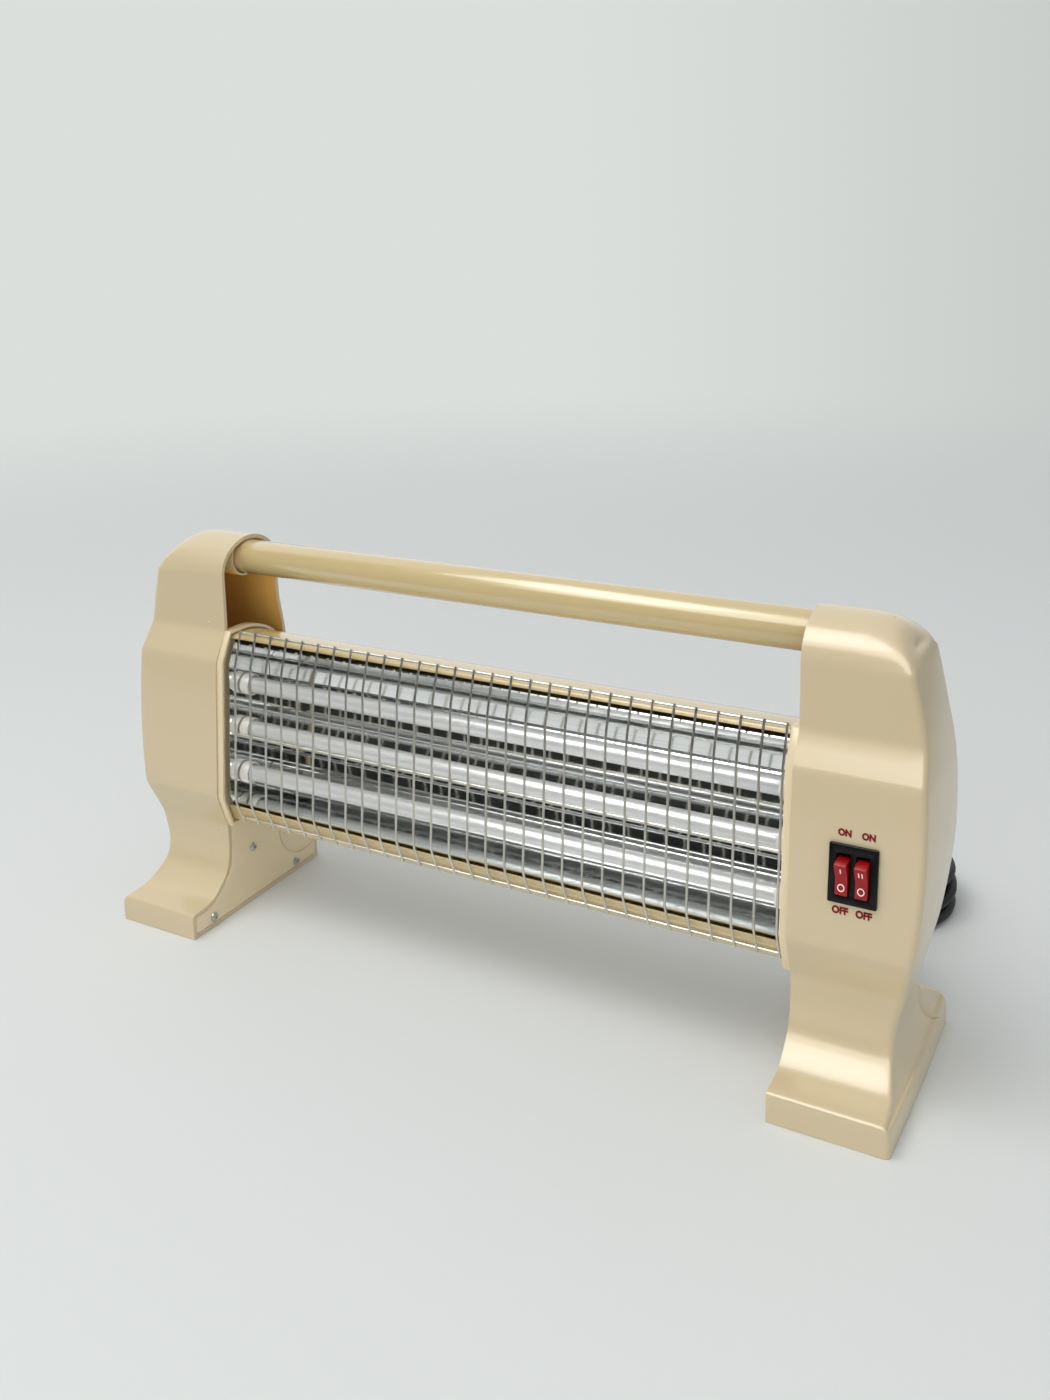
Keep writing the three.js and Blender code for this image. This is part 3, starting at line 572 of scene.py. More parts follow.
def make_tie():
    """The cord's tie: a flat band round all the turns, with its latch."""
    swing = LOOP_PITCH * LOOP_TURNS / LOOP_LAYERS / 2
    low, high = LOOP_LIFT - 0.4, LOOP_LIFT + CORD_D + (LOOP_LAYERS - 1) * LAYER_PITCH + 0.4
    half = swing + CORD_D / 2 + 0.5
    ring = [(-half, low), (half, low), (half, high), (-half, high), (-half, low)]
    obj = draw("tie", [(-2.5, y, z) for y, z in ring])
    outward(obj)
    bend(obj, 2.4, 5)
    pull(obj, 5, fill=False)
    modified(obj, "SOLIDIFY", thickness=0.8 * MM, offset=-1, use_even_offset=True)
    outward(obj, 0.001)
    softened(obj, 0.15, 2, 60)
    latch = block("latch", (6.4, 6, 3.2), (0, half * 0.35, high + 0.6))
    softened(latch, 0.5, 2)
    obj = renamed(on_coil(joined(obj, latch), math.radians(200)), "cord_tie_band")
    return dress(smooth(obj, 35), BLACK, "black_plastic", "cord_tie")


def make_plug():
    """The plug with its finger grooves and ribbed neck, drawn back from the cord's end, and its pins."""
    profile = [(0, -54), (16.9, -54), (17.8, -53.8), (18.4, -53.2), (18.6, -52.4), (18.6, -40.6),
               (18.2, -39.6), (15.9, -36.5), (15.5, -35.8)]
    for k in range(4):
        a, slim = -34.6 + k * 2.9, 0.3 * k
        profile += [(15.2 - slim, a), (14.3 - slim, a + 0.3), (14.3 - slim, a + 1.1),
                    (15.1 - slim, a + 1.4)]
    profile += [(13.6, -22.6), (9.4, -18.6), (6.2, -16.6), (5.2, -15)]
    for k in range(5):
        a, slim = -13.6 + k * 2.6, 0.15 * k
        profile += [(5.1 - slim, a), (4.2, a + 0.25), (4.2, a + 1.0), (5 - slim, a + 1.25)]
    profile += [(4.1, -0.4), (3.9, 0), (0, 0)]
    obj = spun("plug", [(r, PLUG_BACK + x) for r, x in profile], (PLUG_Y, PLUG_Z), 64)
    pieces = [dress(smooth(obj, 35), RUBBER, "rubber", "plug_body")]
    face = PLUG_BACK - 54.3
    outline = [(0, face - 19), (1.3, face - 18.9), (2.1, face - 18.2), (2.4, face - 17), (2.4, face),
               (0, face)]
    for number, side in ((1, -PIN_APART / 2), (2, PIN_APART / 2)):
        pin = spun(f"pin_{number}", outline, (PLUG_Y + side, PLUG_Z), 32)
        pieces.append(dress(smooth(pin, 40), BRASS, "brass", f"plug_pin_{number}"))
    return pieces


path = cord_path()
cord = dress(tube_along("mains_cord", path, CORD_D), RUBBER, "rubber",
             "power_cord", "cord_coil", "cord_tail")
make_tie()
list(make_plug())

# ---- end casings

INNER_X = 192.7
WALL = 2.6
HANDLE_Y, HANDLE_Z = 12.5, 238
CROWN = (252.4, 12.5)
FRONT_KEYS = [
    (0, -64.5), (5, -64.49), (12.5, -64.46), (13.6, -64.35), (15.6, -63.6), (16.6, -61.6), (16.75, -58),
    (17.1, -52.5), (18.7, -45), (24, -37.2), (32.5, -29.6), (45, -26.5), (56, -26.1), (62, -26.3),
    (66, -27.4), (82, -33.2), (86, -34.25), (90, -34.1), (130, -30.6), (172, -26.9), (176.5, -26.2),
    (180, -24.3), (191, -17.7), (194.5, -16.1), (199, -15.75), (220, -15.3), (233, -15), (240, -12.3),
    (246.2, -6.6), (250.3, 1), (252.1, 8), CROWN,
]
BACK_KEYS = [
    (0, 64.5), (10, 64.5), (15, 64.4), (17.8, 63.4), (20, 61), (25, 54), (34, 40), (38.5, 32.3),
    (42, 26.9), (45, 24.3), (49, 23.6), (56, 23.5), (62, 23.7), (70, 25), (76, 27), (88, 31.7),
    (103, 38.4), (117, 43.4), (135, 46.4), (150, 46.9), (162, 46.4), (185, 43.4), (203, 40.2),
    (212, 39.8), (232, 39.8), (240, 37.2), (246.2, 31.6), (250.3, 24), (252.1, 17), CROWN,
]
OUTER_KEYS = [
    (0, 255.5), (12, 255.3), (22, 250.5), (34, 247.4), (45, 248), (66, 253), (88, 257.8), (126, 261.1),
    (147, 261.2), (176, 260), (204, 256), (225, 251.4), (240, 247.9), (252.4, 245),
]
SHOULDER = 234                  # above this height front and back turn in to the crown
ROW_STEP, ROW_GAP, ROW_TURN = 0.5, 14, 0.16     # how close rows lie: by height, and by turn
CROWN_ROWS = 22
FACE_STEPS, BEND_STEPS, WALL_STEPS = 14, 7, 12
TOE_ROUND, LEG_ROUND, CROWN_ROUND = 2.6, 1.4, 9  # radius at the toe, and what leg and crown add to it
LEG_RISE, CROWN_RISE = (15, 46), (232, 252)
SWELL = 3.2                     # four times the outer wall's bow between its edges
RECESS_Y, RECESS_Z, RECESS_R = 50, 38, 25.4
SCOOP_FLOOR, SCOOP_LEAN = 243, (0.368, -0.18)   # the recess's floor, and its slope along Y and Z
BOSS_R, BOSS_BORE, BOSS_START, BOSS_ROOT = 13.35, 11.75, 196.1, 233
POSTS = [(-45.3, 7), (-3.3, 37.9), (40.3, 7.3)]
POST_R, POST_BORE, POST_START = 3.6, 1.75, 196
CORNER_SMOOTHING = 24
HOLLOW_X, HOLLOW_TOP, INSIDE_DEPTH = 205, 215, 2.1      # where the hollow's middle and its skin lie
GLAND_X, GLAND_Z, GLAND_WALL = 222, 54, 23.6
GLAND_HOLE_R = 6.5


def side_line(keys, outward_sign):
    """[place, outward] all along a casing's front or back, as (y, z) pairs."""
    line = [Vector((y, z)) for z, y in curve_through([Vector(k) for k in keys], 14)]
    out = []
    for i, point in enumerate(line):
        along = (line[min(i + 1, len(line) - 1)] - line[max(i - 1, 0)]).normalized()
        out.append((point, Vector((-along.y, along.x)) * outward_sign))
    out[-1] = (line[-1], Vector((0, 1)))
    return out


FRONT_LINE = side_line(FRONT_KEYS, 1)
BACK_LINE = side_line(BACK_KEYS, -1)
OUTER_LINE = curve_through([Vector(k) for k in OUTER_KEYS], 8)


def at_height(line, z):
    """The place and outward direction of a side at a height."""
    for (a, normal_a), (b, normal_b) in zip(line, line[1:]):
        if a.y <= z <= b.y:
            share = (z - a.y) / max(1e-6, b.y - a.y)
            return a.lerp(b, share), normal_a.lerp(normal_b, share).normalized()
    return line[-1]


def outer_at(z):
    """How far out the outer wall's edges stand at a height."""
    for a, b in zip(OUTER_LINE, OUTER_LINE[1:]):
        if z <= b.x:
            return a.y + (b.y - a.y) * (z - a.x) / max(1e-6, b.x - a.x)
    return OUTER_LINE[-1].y


def casing_rows():
    """Pairs of front and back places, close together where a side turns."""
    rows, need, last = [], 1, None
    for step in range(int(SHOULDER / ROW_STEP) + 1):
        z = step * ROW_STEP
        front, back = at_height(FRONT_LINE, z), at_height(BACK_LINE, z)
        if last:
            turn = front[1].angle(last[0][1]) + back[1].angle(last[1][1])
            need += ROW_STEP / ROW_GAP + turn / ROW_TURN
        last = (front, back)
        if need >= 1 or z == SHOULDER:
            rows.append(last)
            need -= 1
    crown_front = [p for p in FRONT_LINE if p[0].y > SHOULDER]
    crown_back = [p for p in BACK_LINE if p[0].y > SHOULDER]
    for k in range(1, CROWN_ROWS + 1):
        share = k / CROWN_ROWS
        rows.append((crown_front[round(share * (len(crown_front) - 1))],
                     crown_back[round(share * (len(crown_back) - 1))]))
    return rows


CASING_ROWS = casing_rows()


def edge_round(z):
    """Radius of the casing's long edges: tight at the toe, fuller up the leg, full at the crown."""
    return TOE_ROUND + LEG_ROUND * eased(z, *LEG_RISE) + CROWN_ROUND * eased(z, *CROWN_RISE)


def casing_ring(front, back, depth, inner_x):
    """One level of a casing: along the front, round the outer wall and back."""
    ends = []
    for place, normal in (front, back):
        radius = max(0.6, edge_round(place.y) - depth)
        skin = place - normal * depth
        wall = outer_at(place.y) - depth
        bend = []
        for k in range(BEND_STEPS + 1):
            turn = k / BEND_STEPS * math.pi / 2
            spot = skin - normal * radius * (1 - math.cos(turn))
            bend.append((wall - radius + radius * math.sin(turn), spot.x, spot.y))
        face = [(inner_x + (wall - radius - inner_x) * k / FACE_STEPS, skin.x, skin.y)
                for k in range(FACE_STEPS)]
        ends.append((face, bend))
    (front_face, front_bend), (back_face, back_bend) = ends
    start, stop = Vector(front_bend[-1]), Vector(back_bend[-1])
    swell = SWELL * min(1.0, (stop - start).length / 50)
    wall_line = []
    for k in range(1, WALL_STEPS):
        share = k / WALL_STEPS
        spot = start.lerp(stop, share)
        wall_line.append((spot.x + swell * share * (1 - share), spot.y, spot.z))
    return front_face + front_bend + wall_line + back_bend[::-1] + back_face[::-1]


def casing_block(name, depth, inner_x):
    """The casing's outside, or its hollow, as a closed block."""
    rows = [row for row in CASING_ROWS if row[0][0].y > depth]
    rows.insert(0, (at_height(FRONT_LINE, depth), at_height(BACK_LINE, depth)))
    rings = [casing_ring(front, back, depth, inner_x) for front, back in rows]
    rings[0] = [(x, y, depth) for x, y, z in rings[0]]
    columns = len(rings[0])
    bpy.ops.mesh.primitive_grid_add(x_subdivisions=columns - 1, y_subdivisions=len(rings) - 1)
    obj = named(name)
    obj.data.vertices.foreach_set("co", [c * MM for ring in rings for point in ring for c in point])
    obj.data.update()
    for open_side in (lambda p: abs(p.x - inner_x * MM) < 1e-6, lambda p: abs(p.z - depth * MM) < 1e-6):
        pick(obj, "VERT", open_side)
        bpy.ops.mesh.edge_face_add()
        done()
        outward(obj, 0.02)
    pick(obj, "VERT", lambda p: p.x > 226 * MM and p.z > 232 * MM)
    bpy.ops.mesh.vertices_smooth(factor=0.5, repeat=CORNER_SMOOTHING)
    done()
    return obj


def heel_scoop(name, wall):
    """The round recess beside the leg, grown by the wall, with its leaning floor."""
    scoop = rod(name, SCOOP_FLOOR - wall, 300, RECESS_Y, RECESS_Z, RECESS_R + wall, 96, "TRIFAN")
    low_y, low_z = (RECESS_Y - RECESS_R) * MM, RECESS_Z * MM
    for vertex in scoop.data.vertices:
        vertex.co.x += SCOOP_LEAN[0] * (vertex.co.y - low_y) + SCOOP_LEAN[1] * (vertex.co.z - low_z)
    return scoop


def casing():
    """The right casing's shell, before its own openings."""
    shell = casing_block("casing_shell", 0, INNER_X)
    hollow = cut(casing_block("casing_hollow", WALL, INNER_X - 8), heel_scoop("scoop_inside", WALL))
    cut(shell, heel_scoop("scoop_outside", 0))
    cut(shell, hollow, "FAST")
    faceted(shell)
    lip = BOSS_START + 0.4
    boss = spun("handle_boss", [(BOSS_BORE, lip), (12, BOSS_START), (13.1, BOSS_START), (BOSS_R, lip),
                                (BOSS_R, BOSS_ROOT), (BOSS_BORE, BOSS_ROOT), (BOSS_BORE, lip)],
                (HANDLE_Y, HANDLE_Z), 64)
    parts = [shell, smooth(boss, 50)]
    for y, z in POSTS:
        root = outer_at(z) - WALL / 2
        post = spun("screw_post", [(POST_BORE, POST_START), (POST_R - 0.3, POST_START),
                                   (POST_R - 0.1, POST_START + 0.2), (POST_R, root), (POST_BORE, root),
                                   (POST_BORE, POST_START)], (y, z), 24)
        parts.append(smooth(post, 50))
    return joined(*parts)


def within(face):
    """Whether a face lies on the inside of a casing's wall and looks inwards."""
    x, y, z = (c / MM for c in face.center)
    front, back = at_height(FRONT_LINE, z), at_height(BACK_LINE, z)
    deep = ((y - front[0].x) * abs(front[1].x), (back[0].x - y) * abs(back[1].x), outer_at(z) - abs(x))
    middle = Vector((math.copysign(HOLLOW_X, x), (front[0].x + back[0].x) / 2, min(z, HOLLOW_TOP))) * MM
    return min(deep) > INSIDE_DEPTH and (face.center - middle).dot(face.normal) < 0


def mould_dot(shell, x, z, across, high):
    """A small raised oval left on the front by the mould."""
    y = at_height(FRONT_LINE, z)[0].x
    bpy.ops.mesh.primitive_uv_sphere_add(segments=20, ring_count=12, radius=MM,
                                         location=(x * MM, y * MM, z * MM))
    dot = named("mould_dot")
    dot.scale = (across / 2, 0.55, high / 2)
    settle(dot)
    return joined(shell, smooth(dot, 60))


# ---- switch's place on the leaning front

SWITCH_X, SWITCH_Y, SWITCH_Z = 226.3, -30.75, 127.9
FRONT_LEAN = math.radians(5.113)
BEZEL = (25, 1.95, 31)
SWITCH_BODY = (21.4, 24.9, 27.4)
SWITCH_OPENING = (22.1, 12, 28.1)
WINDOW = (7, 14, 21.2)


def on_front(obj):
    """Moves a piece made upright at the origin, facing forwards, onto the casing's leaning front."""
    return moved(obj, (SWITCH_X, SWITCH_Y, SWITCH_Z), -FRONT_LEAN, "X")


def make_casings():
    shell = casing()
    left = twin(shell, "left_casing")
    for x, z in ((-206.2, 198.7), (-202.2, 57.7)):
        mould_dot(left, x, z, 1.9, 1.3)
    renamed(shell, "right_casing")
    cut(shell, on_front(block("switch_opening", SWITCH_OPENING)), "FAST")
    gland = rod("gland_hole", -8, 8, 0, 0, GLAND_HOLE_R, 48)
    cut(shell, moved(gland, (GLAND_X, GLAND_WALL, GLAND_Z), math.pi / 2, "Z"), "FAST")
    for side, obj in (("right", shell), ("left", left)):
        smooth(faceted(obj), 32)
        dress(obj, BEIGE, "casing", f"{side}_outer_shell")
        # Inward faces of the hollow take the painted bounce light colour.
        obj.data.materials.append(POCKET_BOUNCE)
        for face in obj.data.polygons:
            face.material_index = int(within(face))


make_casings()

# ---- inner covers and their screws

PLATE_IN, PLATE_OUT, FACE_IN, COLLAR_IN = 192.4, 195, 191.2, 188.3
BODY_TOP = 194.5
ARCH_FOOT, ARCH_STEPS = 158, 26
COVER_GAP = 0.35                # between the cover's edge and the casing's inside
COLLAR_WALL = 2
SCREW_HOLE_R = 1.9
BODY_LINE_START = [(-25.8, 63), (21.09, 63), (22.75, 72), (28.64, 88), (35.45, 103), (40.36, 117),
                   (43.38, 135)]
BODY_LINE_END = [(-15.75, 194.5), (-25.42, 176), (-33.44, 85.5)]
LEAD_WINDOW = [(-20, 84), (4, 84), (10, 168), (-14, 168)]


def arch_line(back_y):
    """The body's arched back, from its foot up to its flat top."""
    a, b, c, d = (Vector(p) for p in ((back_y, ARCH_FOOT), (36, 184), (16, BODY_TOP), (-4, BODY_TOP)))
    line = []
    for k in range(ARCH_STEPS + 1):
        t = k / ARCH_STEPS
        line.append(a * (1 - t) ** 3 + 3 * b * t * (1 - t) ** 2 + 3 * c * t * t * (1 - t) + d * t ** 3)
    return [tuple(p) for p in line]


def cover_line():
    """The cover's outline: inside the casing's walls, and over the body's arch."""
    depth = WALL + COVER_GAP
    back, front = [], []
    for front_row, back_row in CASING_ROWS:
        for rows, (place, normal), top in ((front, front_row, BODY_TOP - 0.5),
                                           (back, back_row, ARCH_FOOT - 0.5)):
            spot = place - normal * depth
            if depth + 0.2 < spot.y < top and (not rows or spot.y > rows[-1][1] + 0.05):
                rows.append((spot.x, spot.y))
    back.insert(0, (back[0][0], depth))
    front.insert(0, (front[0][0], depth))
    join = at_height(BACK_LINE, ARCH_FOOT)[0].x - depth
    top_y = at_height(FRONT_LINE, BODY_TOP)[0].x + depth
    return back + arch_line(join) + [(top_y, BODY_TOP)] + front[::-1]


def plate_of(name, line, x0, x1):
    """A flat plate with the outline, as (y, z) pairs, from one X to the other."""
    obj = draw(name, [(x0, y, z) for y, z in [*line, line[0]]])
    outward(obj)
    return pull(obj, x1 - x0)


def make_covers():
    plate = plate_of("cover_plate", cover_line(), PLATE_IN, PLATE_OUT)
    softened(plate, 0.45, 2, 50)
    dish = [(0, 1.2), (23.6, 1.2), (24.1, 0.9), (24.3, 0.3), (24.6, -0.1), (24.6, -3), (0, -3)]
    groove = [(25.5, -3), (25.5, 0.6), (26.3, 0.6), (26.3, -3), (25.5, -3)]
    for name, profile in (("dish", dish), ("groove", groove)):
        turned = [(radius, PLATE_IN + depth) for radius, depth in profile]
        cut(plate, spun(name, turned, (RECESS_Y, RECESS_Z), 96))
    body_line = BODY_LINE_START + arch_line(43.49) + BODY_LINE_END
    collar = plate_of("cover_collar", body_line, PLATE_IN + 0.4, COLLAR_IN)
    pick(collar, "FACE", lambda c, n: n.x < -0.9 and c.x < (COLLAR_IN + 0.5) * MM)
    bpy.ops.mesh.inset(thickness=COLLAR_WALL * MM)
    bpy.ops.mesh.extrude_region_move(TRANSFORM_OT_translate={"value": ((FACE_IN - COLLAR_IN) * MM, 0, 0)})
    done()
    softened(collar, 0.35, 2, 50)
    for piece in (plate, collar):
        cut(piece, plate_of("lead_window", LEAD_WINDOW, 185, 200))
    for y, z in POSTS:
        cut(plate, rod("screw_hole", 185, 200, y, z, SCREW_HOLE_R))
    cover = renamed(smooth(faceted(joined(plate, collar)), 35), "right_cover")
    for side, obj in (("right", cover), ("left", twin(cover, "left_cover"))):
        dress(obj, COVER_LIFTED, "cover", f"{side}_inner_cover")


def make_screws():
    head = spun("cover_screw", [(0, 190.85), (1.3, 190.9), (2.3, 191.15), (2.95, 191.6), (3.2, 192),
                                (3.2, 192.3), (1.4, 192.3), (1.4, 212), (0, 213.5)], (0, 0), 32)
    for size in ((1.9, 3.3, 0.72), (1.9, 0.72, 3.3)):
        slot = block("cross_slot", size, (190.6, 0, 0))
        pick(slot, "FACE", lambda c, n: n.x > 0.9)
        bpy.ops.transform.resize(value=(1, 0.8, 0.8))
        done()
        cut(head, slot)
    smooth(head, 30)
    for place, (y, z) in zip(("front", "middle", "back"), POSTS):
        right = copied(head, f"right_screw_{place}", (0, y, z))
        for side, obj in (("right", right), ("left", twin(right, f"left_screw_{place}"))):
            dress(obj, STEEL, "screw_steel", f"{side}_cover_screw_{place}")
    bpy.data.objects.remove(head)


make_covers()
make_screws()

# ---- handle

HANDLE_R, HANDLE_BORE, HANDLE_END = 11.4, 10.2, 232.6


def make_handle():
    start, end = HANDLE_END - 0.3, HANDLE_END
    handle = spun("carrying_handle", [(HANDLE_R, -start), (HANDLE_R, start), (HANDLE_R - 0.2, end),
                                      (HANDLE_BORE, end), (HANDLE_BORE, -end), (HANDLE_R - 0.2, -end),
                                      (HANDLE_R, -start)], (HANDLE_Y, HANDLE_Z), 96)
    dress(smooth(handle, 50), PAINT, "paint", "handle_tube")


make_handle()

# ---- sheet body, reflector and end plates


def folded(name, line, half, gauge, bends, radius):
    """Sheet metal drawn from the side, bent over a radius, pulled to length and given its gauge."""
    obj = draw(name, [(-half, y, z) for y, z in line])
    bend(obj, radius, 4, lambda p: any(abs(p.y - y * MM) + abs(p.z - z * MM) < 1e-5 for y, z in bends))
    pull(obj, 2 * half, fill=False)
    modified(obj, "SOLIDIFY", thickness=gauge * MM, offset=-1, use_even_offset=True)
    outward(obj, 0.001)
    return smooth(obj, 30)


HOUSING = [(-25.66, 77.5), (-21.72, 65.9), (18.68, 65.9), (19.95, 72.77), (25.95, 89.1), (32.75, 104.08),
           (37.55, 117.73), (40.49, 135.25)]
HOUSING_ARCH = [(40.59, 157.47), (36.95, 166.91), (31.99, 174.82), (26.05, 181.07), (19.3, 185.78),
                (11.91, 189.06), (4.08, 190.97), (-4.11, 191.6)]
HOUSING_FRONT = [(-11.99, 191.6), (-13.19, 189.3)]
REFLECTOR = [(-23.4, 79.4), (12, 86.5), (18, 92), (13, 97), (12, 107), (17, 112), (20, 126.5), (12, 131),
             (14.5, 144), (20.5, 152.5), (20.5, 163), (14, 170), (-14.2, 187.3)]
HOUSING_HALF, HOUSING_GAUGE, HOUSING_BEND = 190.85, 1.2, 1.6
REFLECTOR_HALF, REFLECTOR_GAUGE, REFLECTOR_BEND = 187.4, 0.9, 1.2


def make_body():
    arch = [tuple(p) for p in curve_through([Vector(p) for p in HOUSING_ARCH], 5)]
    housing = folded("body_sheet", HOUSING + arch + HOUSING_FRONT, HOUSING_HALF, HOUSING_GAUGE,
                     HOUSING[1:] + HOUSING_FRONT[:1], HOUSING_BEND)
    dress(housing, PAINT, "paint", "body_housing")
    bright = folded("bright_reflector", REFLECTOR, REFLECTOR_HALF, REFLECTOR_GAUGE,
                    REFLECTOR[1:-1], REFLECTOR_BEND)
    dress(bright, MIRROR, "polished", "reflector")


make_body()

# ---- wire grille

WIRE_LINE = [(-16.9, 197), (-24.5, 175), (-32.5, 86), (-26.1, 69.2)]
WIRE_D, WIRE_BEND = 1.5, 3.2
WIRE_FIRST, WIRE_LAST, WIRE_COUNT = -178.2, 186.9, 30
LONG_WIRE_D, LONG_WIRE_HEIGHTS = 1.8, (195.2, 129.9, 71)
LONG_WIRE_ENDS = (-180.4, 187.9)
WELD_SET = 1.7                  # long wires' distance behind the uprights


def rounded(line, radius):
    """A line of points with its corners turned into short arcs."""
    steps = 5
    out = [Vector(line[0])]
    for a, b, c in zip(line, line[1:], line[2:]):
        a, b, c = Vector(a), Vector(b), Vector(c)
        start = b + (a - b).normalized() * radius
        stop = b + (c - b).normalized() * radius
        for k in range(steps + 1):
            t = k / steps
            out.append(start.lerp(b, t).lerp(b.lerp(stop, t), t))
    return out + [Vector(line[-1])]


def wire_place(z):
    """How far forward the upright wires stand at a height."""
    for (y0, z0), (y1, z1) in zip(WIRE_LINE, WIRE_LINE[1:]):
        if z1 <= z <= z0:
            return y0 + (y1 - y0) * (z - z0) / (z1 - z0)


def make_grille():
    line = rounded([(WIRE_FIRST, y, z) for y, z in WIRE_LINE], WIRE_BEND)
    wires = [tube_along("upright_wire", line, WIRE_D)]
    pitch = (WIRE_LAST - WIRE_FIRST) / (WIRE_COUNT - 1)
    wires += [copied(wires[0], "upright_wire", (pitch * k, 0, 0)) for k in range(1, WIRE_COUNT)]
    start, end = LONG_WIRE_ENDS
    for z in LONG_WIRE_HEIGHTS:
        y = wire_place(z) + WELD_SET
        wires.append(tube_along("long_wire", [(x, y, z) for x in (start, start + 0.2, end - 0.2, end)],
                                LONG_WIRE_D))
    dress(renamed(joined(*wires), "wire_grille"), WIRE, "wire", "grille")


make_grille()

# ---- heating tubes

TUBE_PLACES = {"top": (-5, 156), "middle": (-8, 126.5), "bottom": (-11, 96.5)}
TUBE_R, TUBE_BORE, TUBE_HALF = 5.5, 4.4, 184
COIL_TURNS, COIL_SIDES, COIL_HALF, COIL_R, COIL_WIRE_D = 150, 14, 172, 2.5, 0.6
CAP_PROFILE = [(0, 184.35), (5.85, 184.35), (5.85, 180.8), (6.1, 180.5), (6.7, 180.5), (7.05, 180.65),
               (7.2, 181), (7.2, 186.5), (7.05, 186.85), (6.7, 187), (3.9, 187), (3.9, 193.7),
               (3.6, 194), (0, 194)]


def spiral():
    """The wound element: a wire coil the length of the tube, with straight ends."""
    points = []
    for k in range(COIL_TURNS * COIL_SIDES + 1):
        turn, angle = k / COIL_SIDES, k / COIL_SIDES * 2 * math.pi
        points.append((-COIL_HALF + turn * 2 * COIL_HALF / COIL_TURNS,
                       COIL_R * math.cos(angle), COIL_R * math.sin(angle)))
    ends = [(-TUBE_HALF, 0, 0), (-174.5, 0, 0), (-173, 1.2, 0)]
    return ends + points + [(173, 1.2, 0), (174.5, 0, 0), (TUBE_HALF, 0, 0)]


def make_tubes():
    out, bore, end, soft = TUBE_R, TUBE_BORE, TUBE_HALF, TUBE_HALF - 0.4
    tube = spun("quartz", [(out, -soft), (out, soft), (out - 0.3, end), (bore + 0.3, end), (bore, soft),
                           (bore, -soft), (bore + 0.3, -end), (out - 0.3, -end), (out, -soft)], (0, 0), 64)
    smooth(tube, 50)
    cap = smooth(spun("cap", CAP_PROFILE, (0, 0)), 40)
    coil = tube_along("coil", spiral(), COIL_WIRE_D, 6)
    for row, (y, z) in TUBE_PLACES.items():
        dress(copied(tube, f"tube_{row}", (0, y, z)), QUARTZ, "quartz", f"quartz_tube_{row}")
        dress(copied(coil, f"element_{row}", (0, y, z)), ELEMENT, "element", f"heating_coil_{row}")
        right = copied(cap, f"right_cap_{row}", (0, y, z))
        for side, obj in (("right", right), ("left", twin(right, f"left_cap_{row}"))):
            dress(obj, CERAMIC, "ceramic", f"{side}_ceramic_cap_{row}")
    for obj in (tube, cap, coil):
        bpy.data.objects.remove(obj)


make_tubes()

# ---- switch

ROCKER_X = 5.05
ROCKER_TILT = math.radians(13)
ROCKER_RISE, ROCKER_HALF, ROCKER_WIDTH = 6.3, 8.6, 6.4
PIVOT_DEPTH = 1.5
MARK_UP, MARK_DOWN = 4.9, -4.7
RIM = ROCKER_RISE + ROCKER_HALF * math.tan(ROCKER_TILT)


def corners_rounded(obj, radius, segments):
    """Rounds the four corners of a block as seen from the front."""
    pick(obj, "EDGE", lambda a, b: abs(a.x - b.x) < 1e-6 and abs(a.z - b.z) < 1e-6)
    bpy.ops.mesh.bevel(offset=radius * MM, segments=segments)
    done()
    return obj


def make_switch_frame():
    bezel = corners_rounded(block("switch_bezel", BEZEL, (0, -1.325, 0)), 0.7, 4)
    softened(bezel, 0.4, 3, 40)
    core = block("switch_core", SWITCH_BODY, (0, 11.5, 0))
    softened(core, 0.4, 2, 40)
    for x in (-ROCKER_X, ROCKER_X):
        for piece in (bezel, core):
            cut(piece, corners_rounded(block("window", WINDOW, (x, 2, 0)), 0.4, 2))
    softened(bezel, 0.18, 2, 60)
    dress(smooth(on_front(joined(bezel, core)), 30), BLACK, "black_plastic", "switch_frame")


def rocker_face(z):
    """Distance out of the rocker's face, from its axle, at a height on it."""
    return -(ROCKER_RISE + abs(z) * math.tan(ROCKER_TILT))


def tilt(obj, x):
    """Sets a piece made level about the axle at a rocker's rest, in the switch."""
    return on_front(moved(obj, (x, PIVOT_DEPTH, 0), ROCKER_TILT, "X"))


def rocker_piece(name, x):
    half = ROCKER_HALF
    outline = [(-RIM, -half), (rocker_face(0), 0), (-RIM, half), (-RIM + 1.4, half + 0.5), (1.2, half),
               (4.6, 3), (4.6, -3), (1.2, -half), (-RIM + 1.4, -half - 0.5)]
    obj = plate_of(name, outline, -ROCKER_WIDTH / 2, ROCKER_WIDTH / 2)
    softened(obj, 0.5, 3, 35)
    return tilt(obj, x)


def glyph(name, text, size, extra, thick):
    """Lettering drawn flat and upright, facing forwards, centred on the origin."""
    bpy.ops.object.text_add(rotation=(math.pi / 2, 0, 0))
    obj = named(name)
    obj.data.body = text
    obj.data.size = size * MM
    obj.data.align_x = "CENTER"
    obj.data.align_y = "CENTER"
    obj.data.offset = extra * MM
    obj.data.extrude = thick * MM
    bpy.ops.object.convert(target="MESH")
    return settle(bpy.context.active_object)


def rocker_mark(name, parts, x, z):
    """A raised white mark lying on one half of a rocker's face."""
    mark = renamed(joined(*parts), name)
    return tilt(moved(mark, (0, rocker_face(z), z), math.copysign(ROCKER_TILT, z), "X"), x)


def bar(x):
    stroke = block("stroke", (0.55, 0.2, 3.1), (x, -0.02, 0))
    softened(stroke, 0.08, 2)
    return stroke


def ring():
    bpy.ops.mesh.primitive_torus_add(major_radius=1.75 * MM, minor_radius=0.27 * MM, major_segments=48,
                                     minor_segments=10, rotation=(math.pi / 2, 0, 0))
    obj = named("ring")
    settle(obj)
    obj.scale = (0.92, 0.4, 1)
    return smooth(settle(obj), 50)


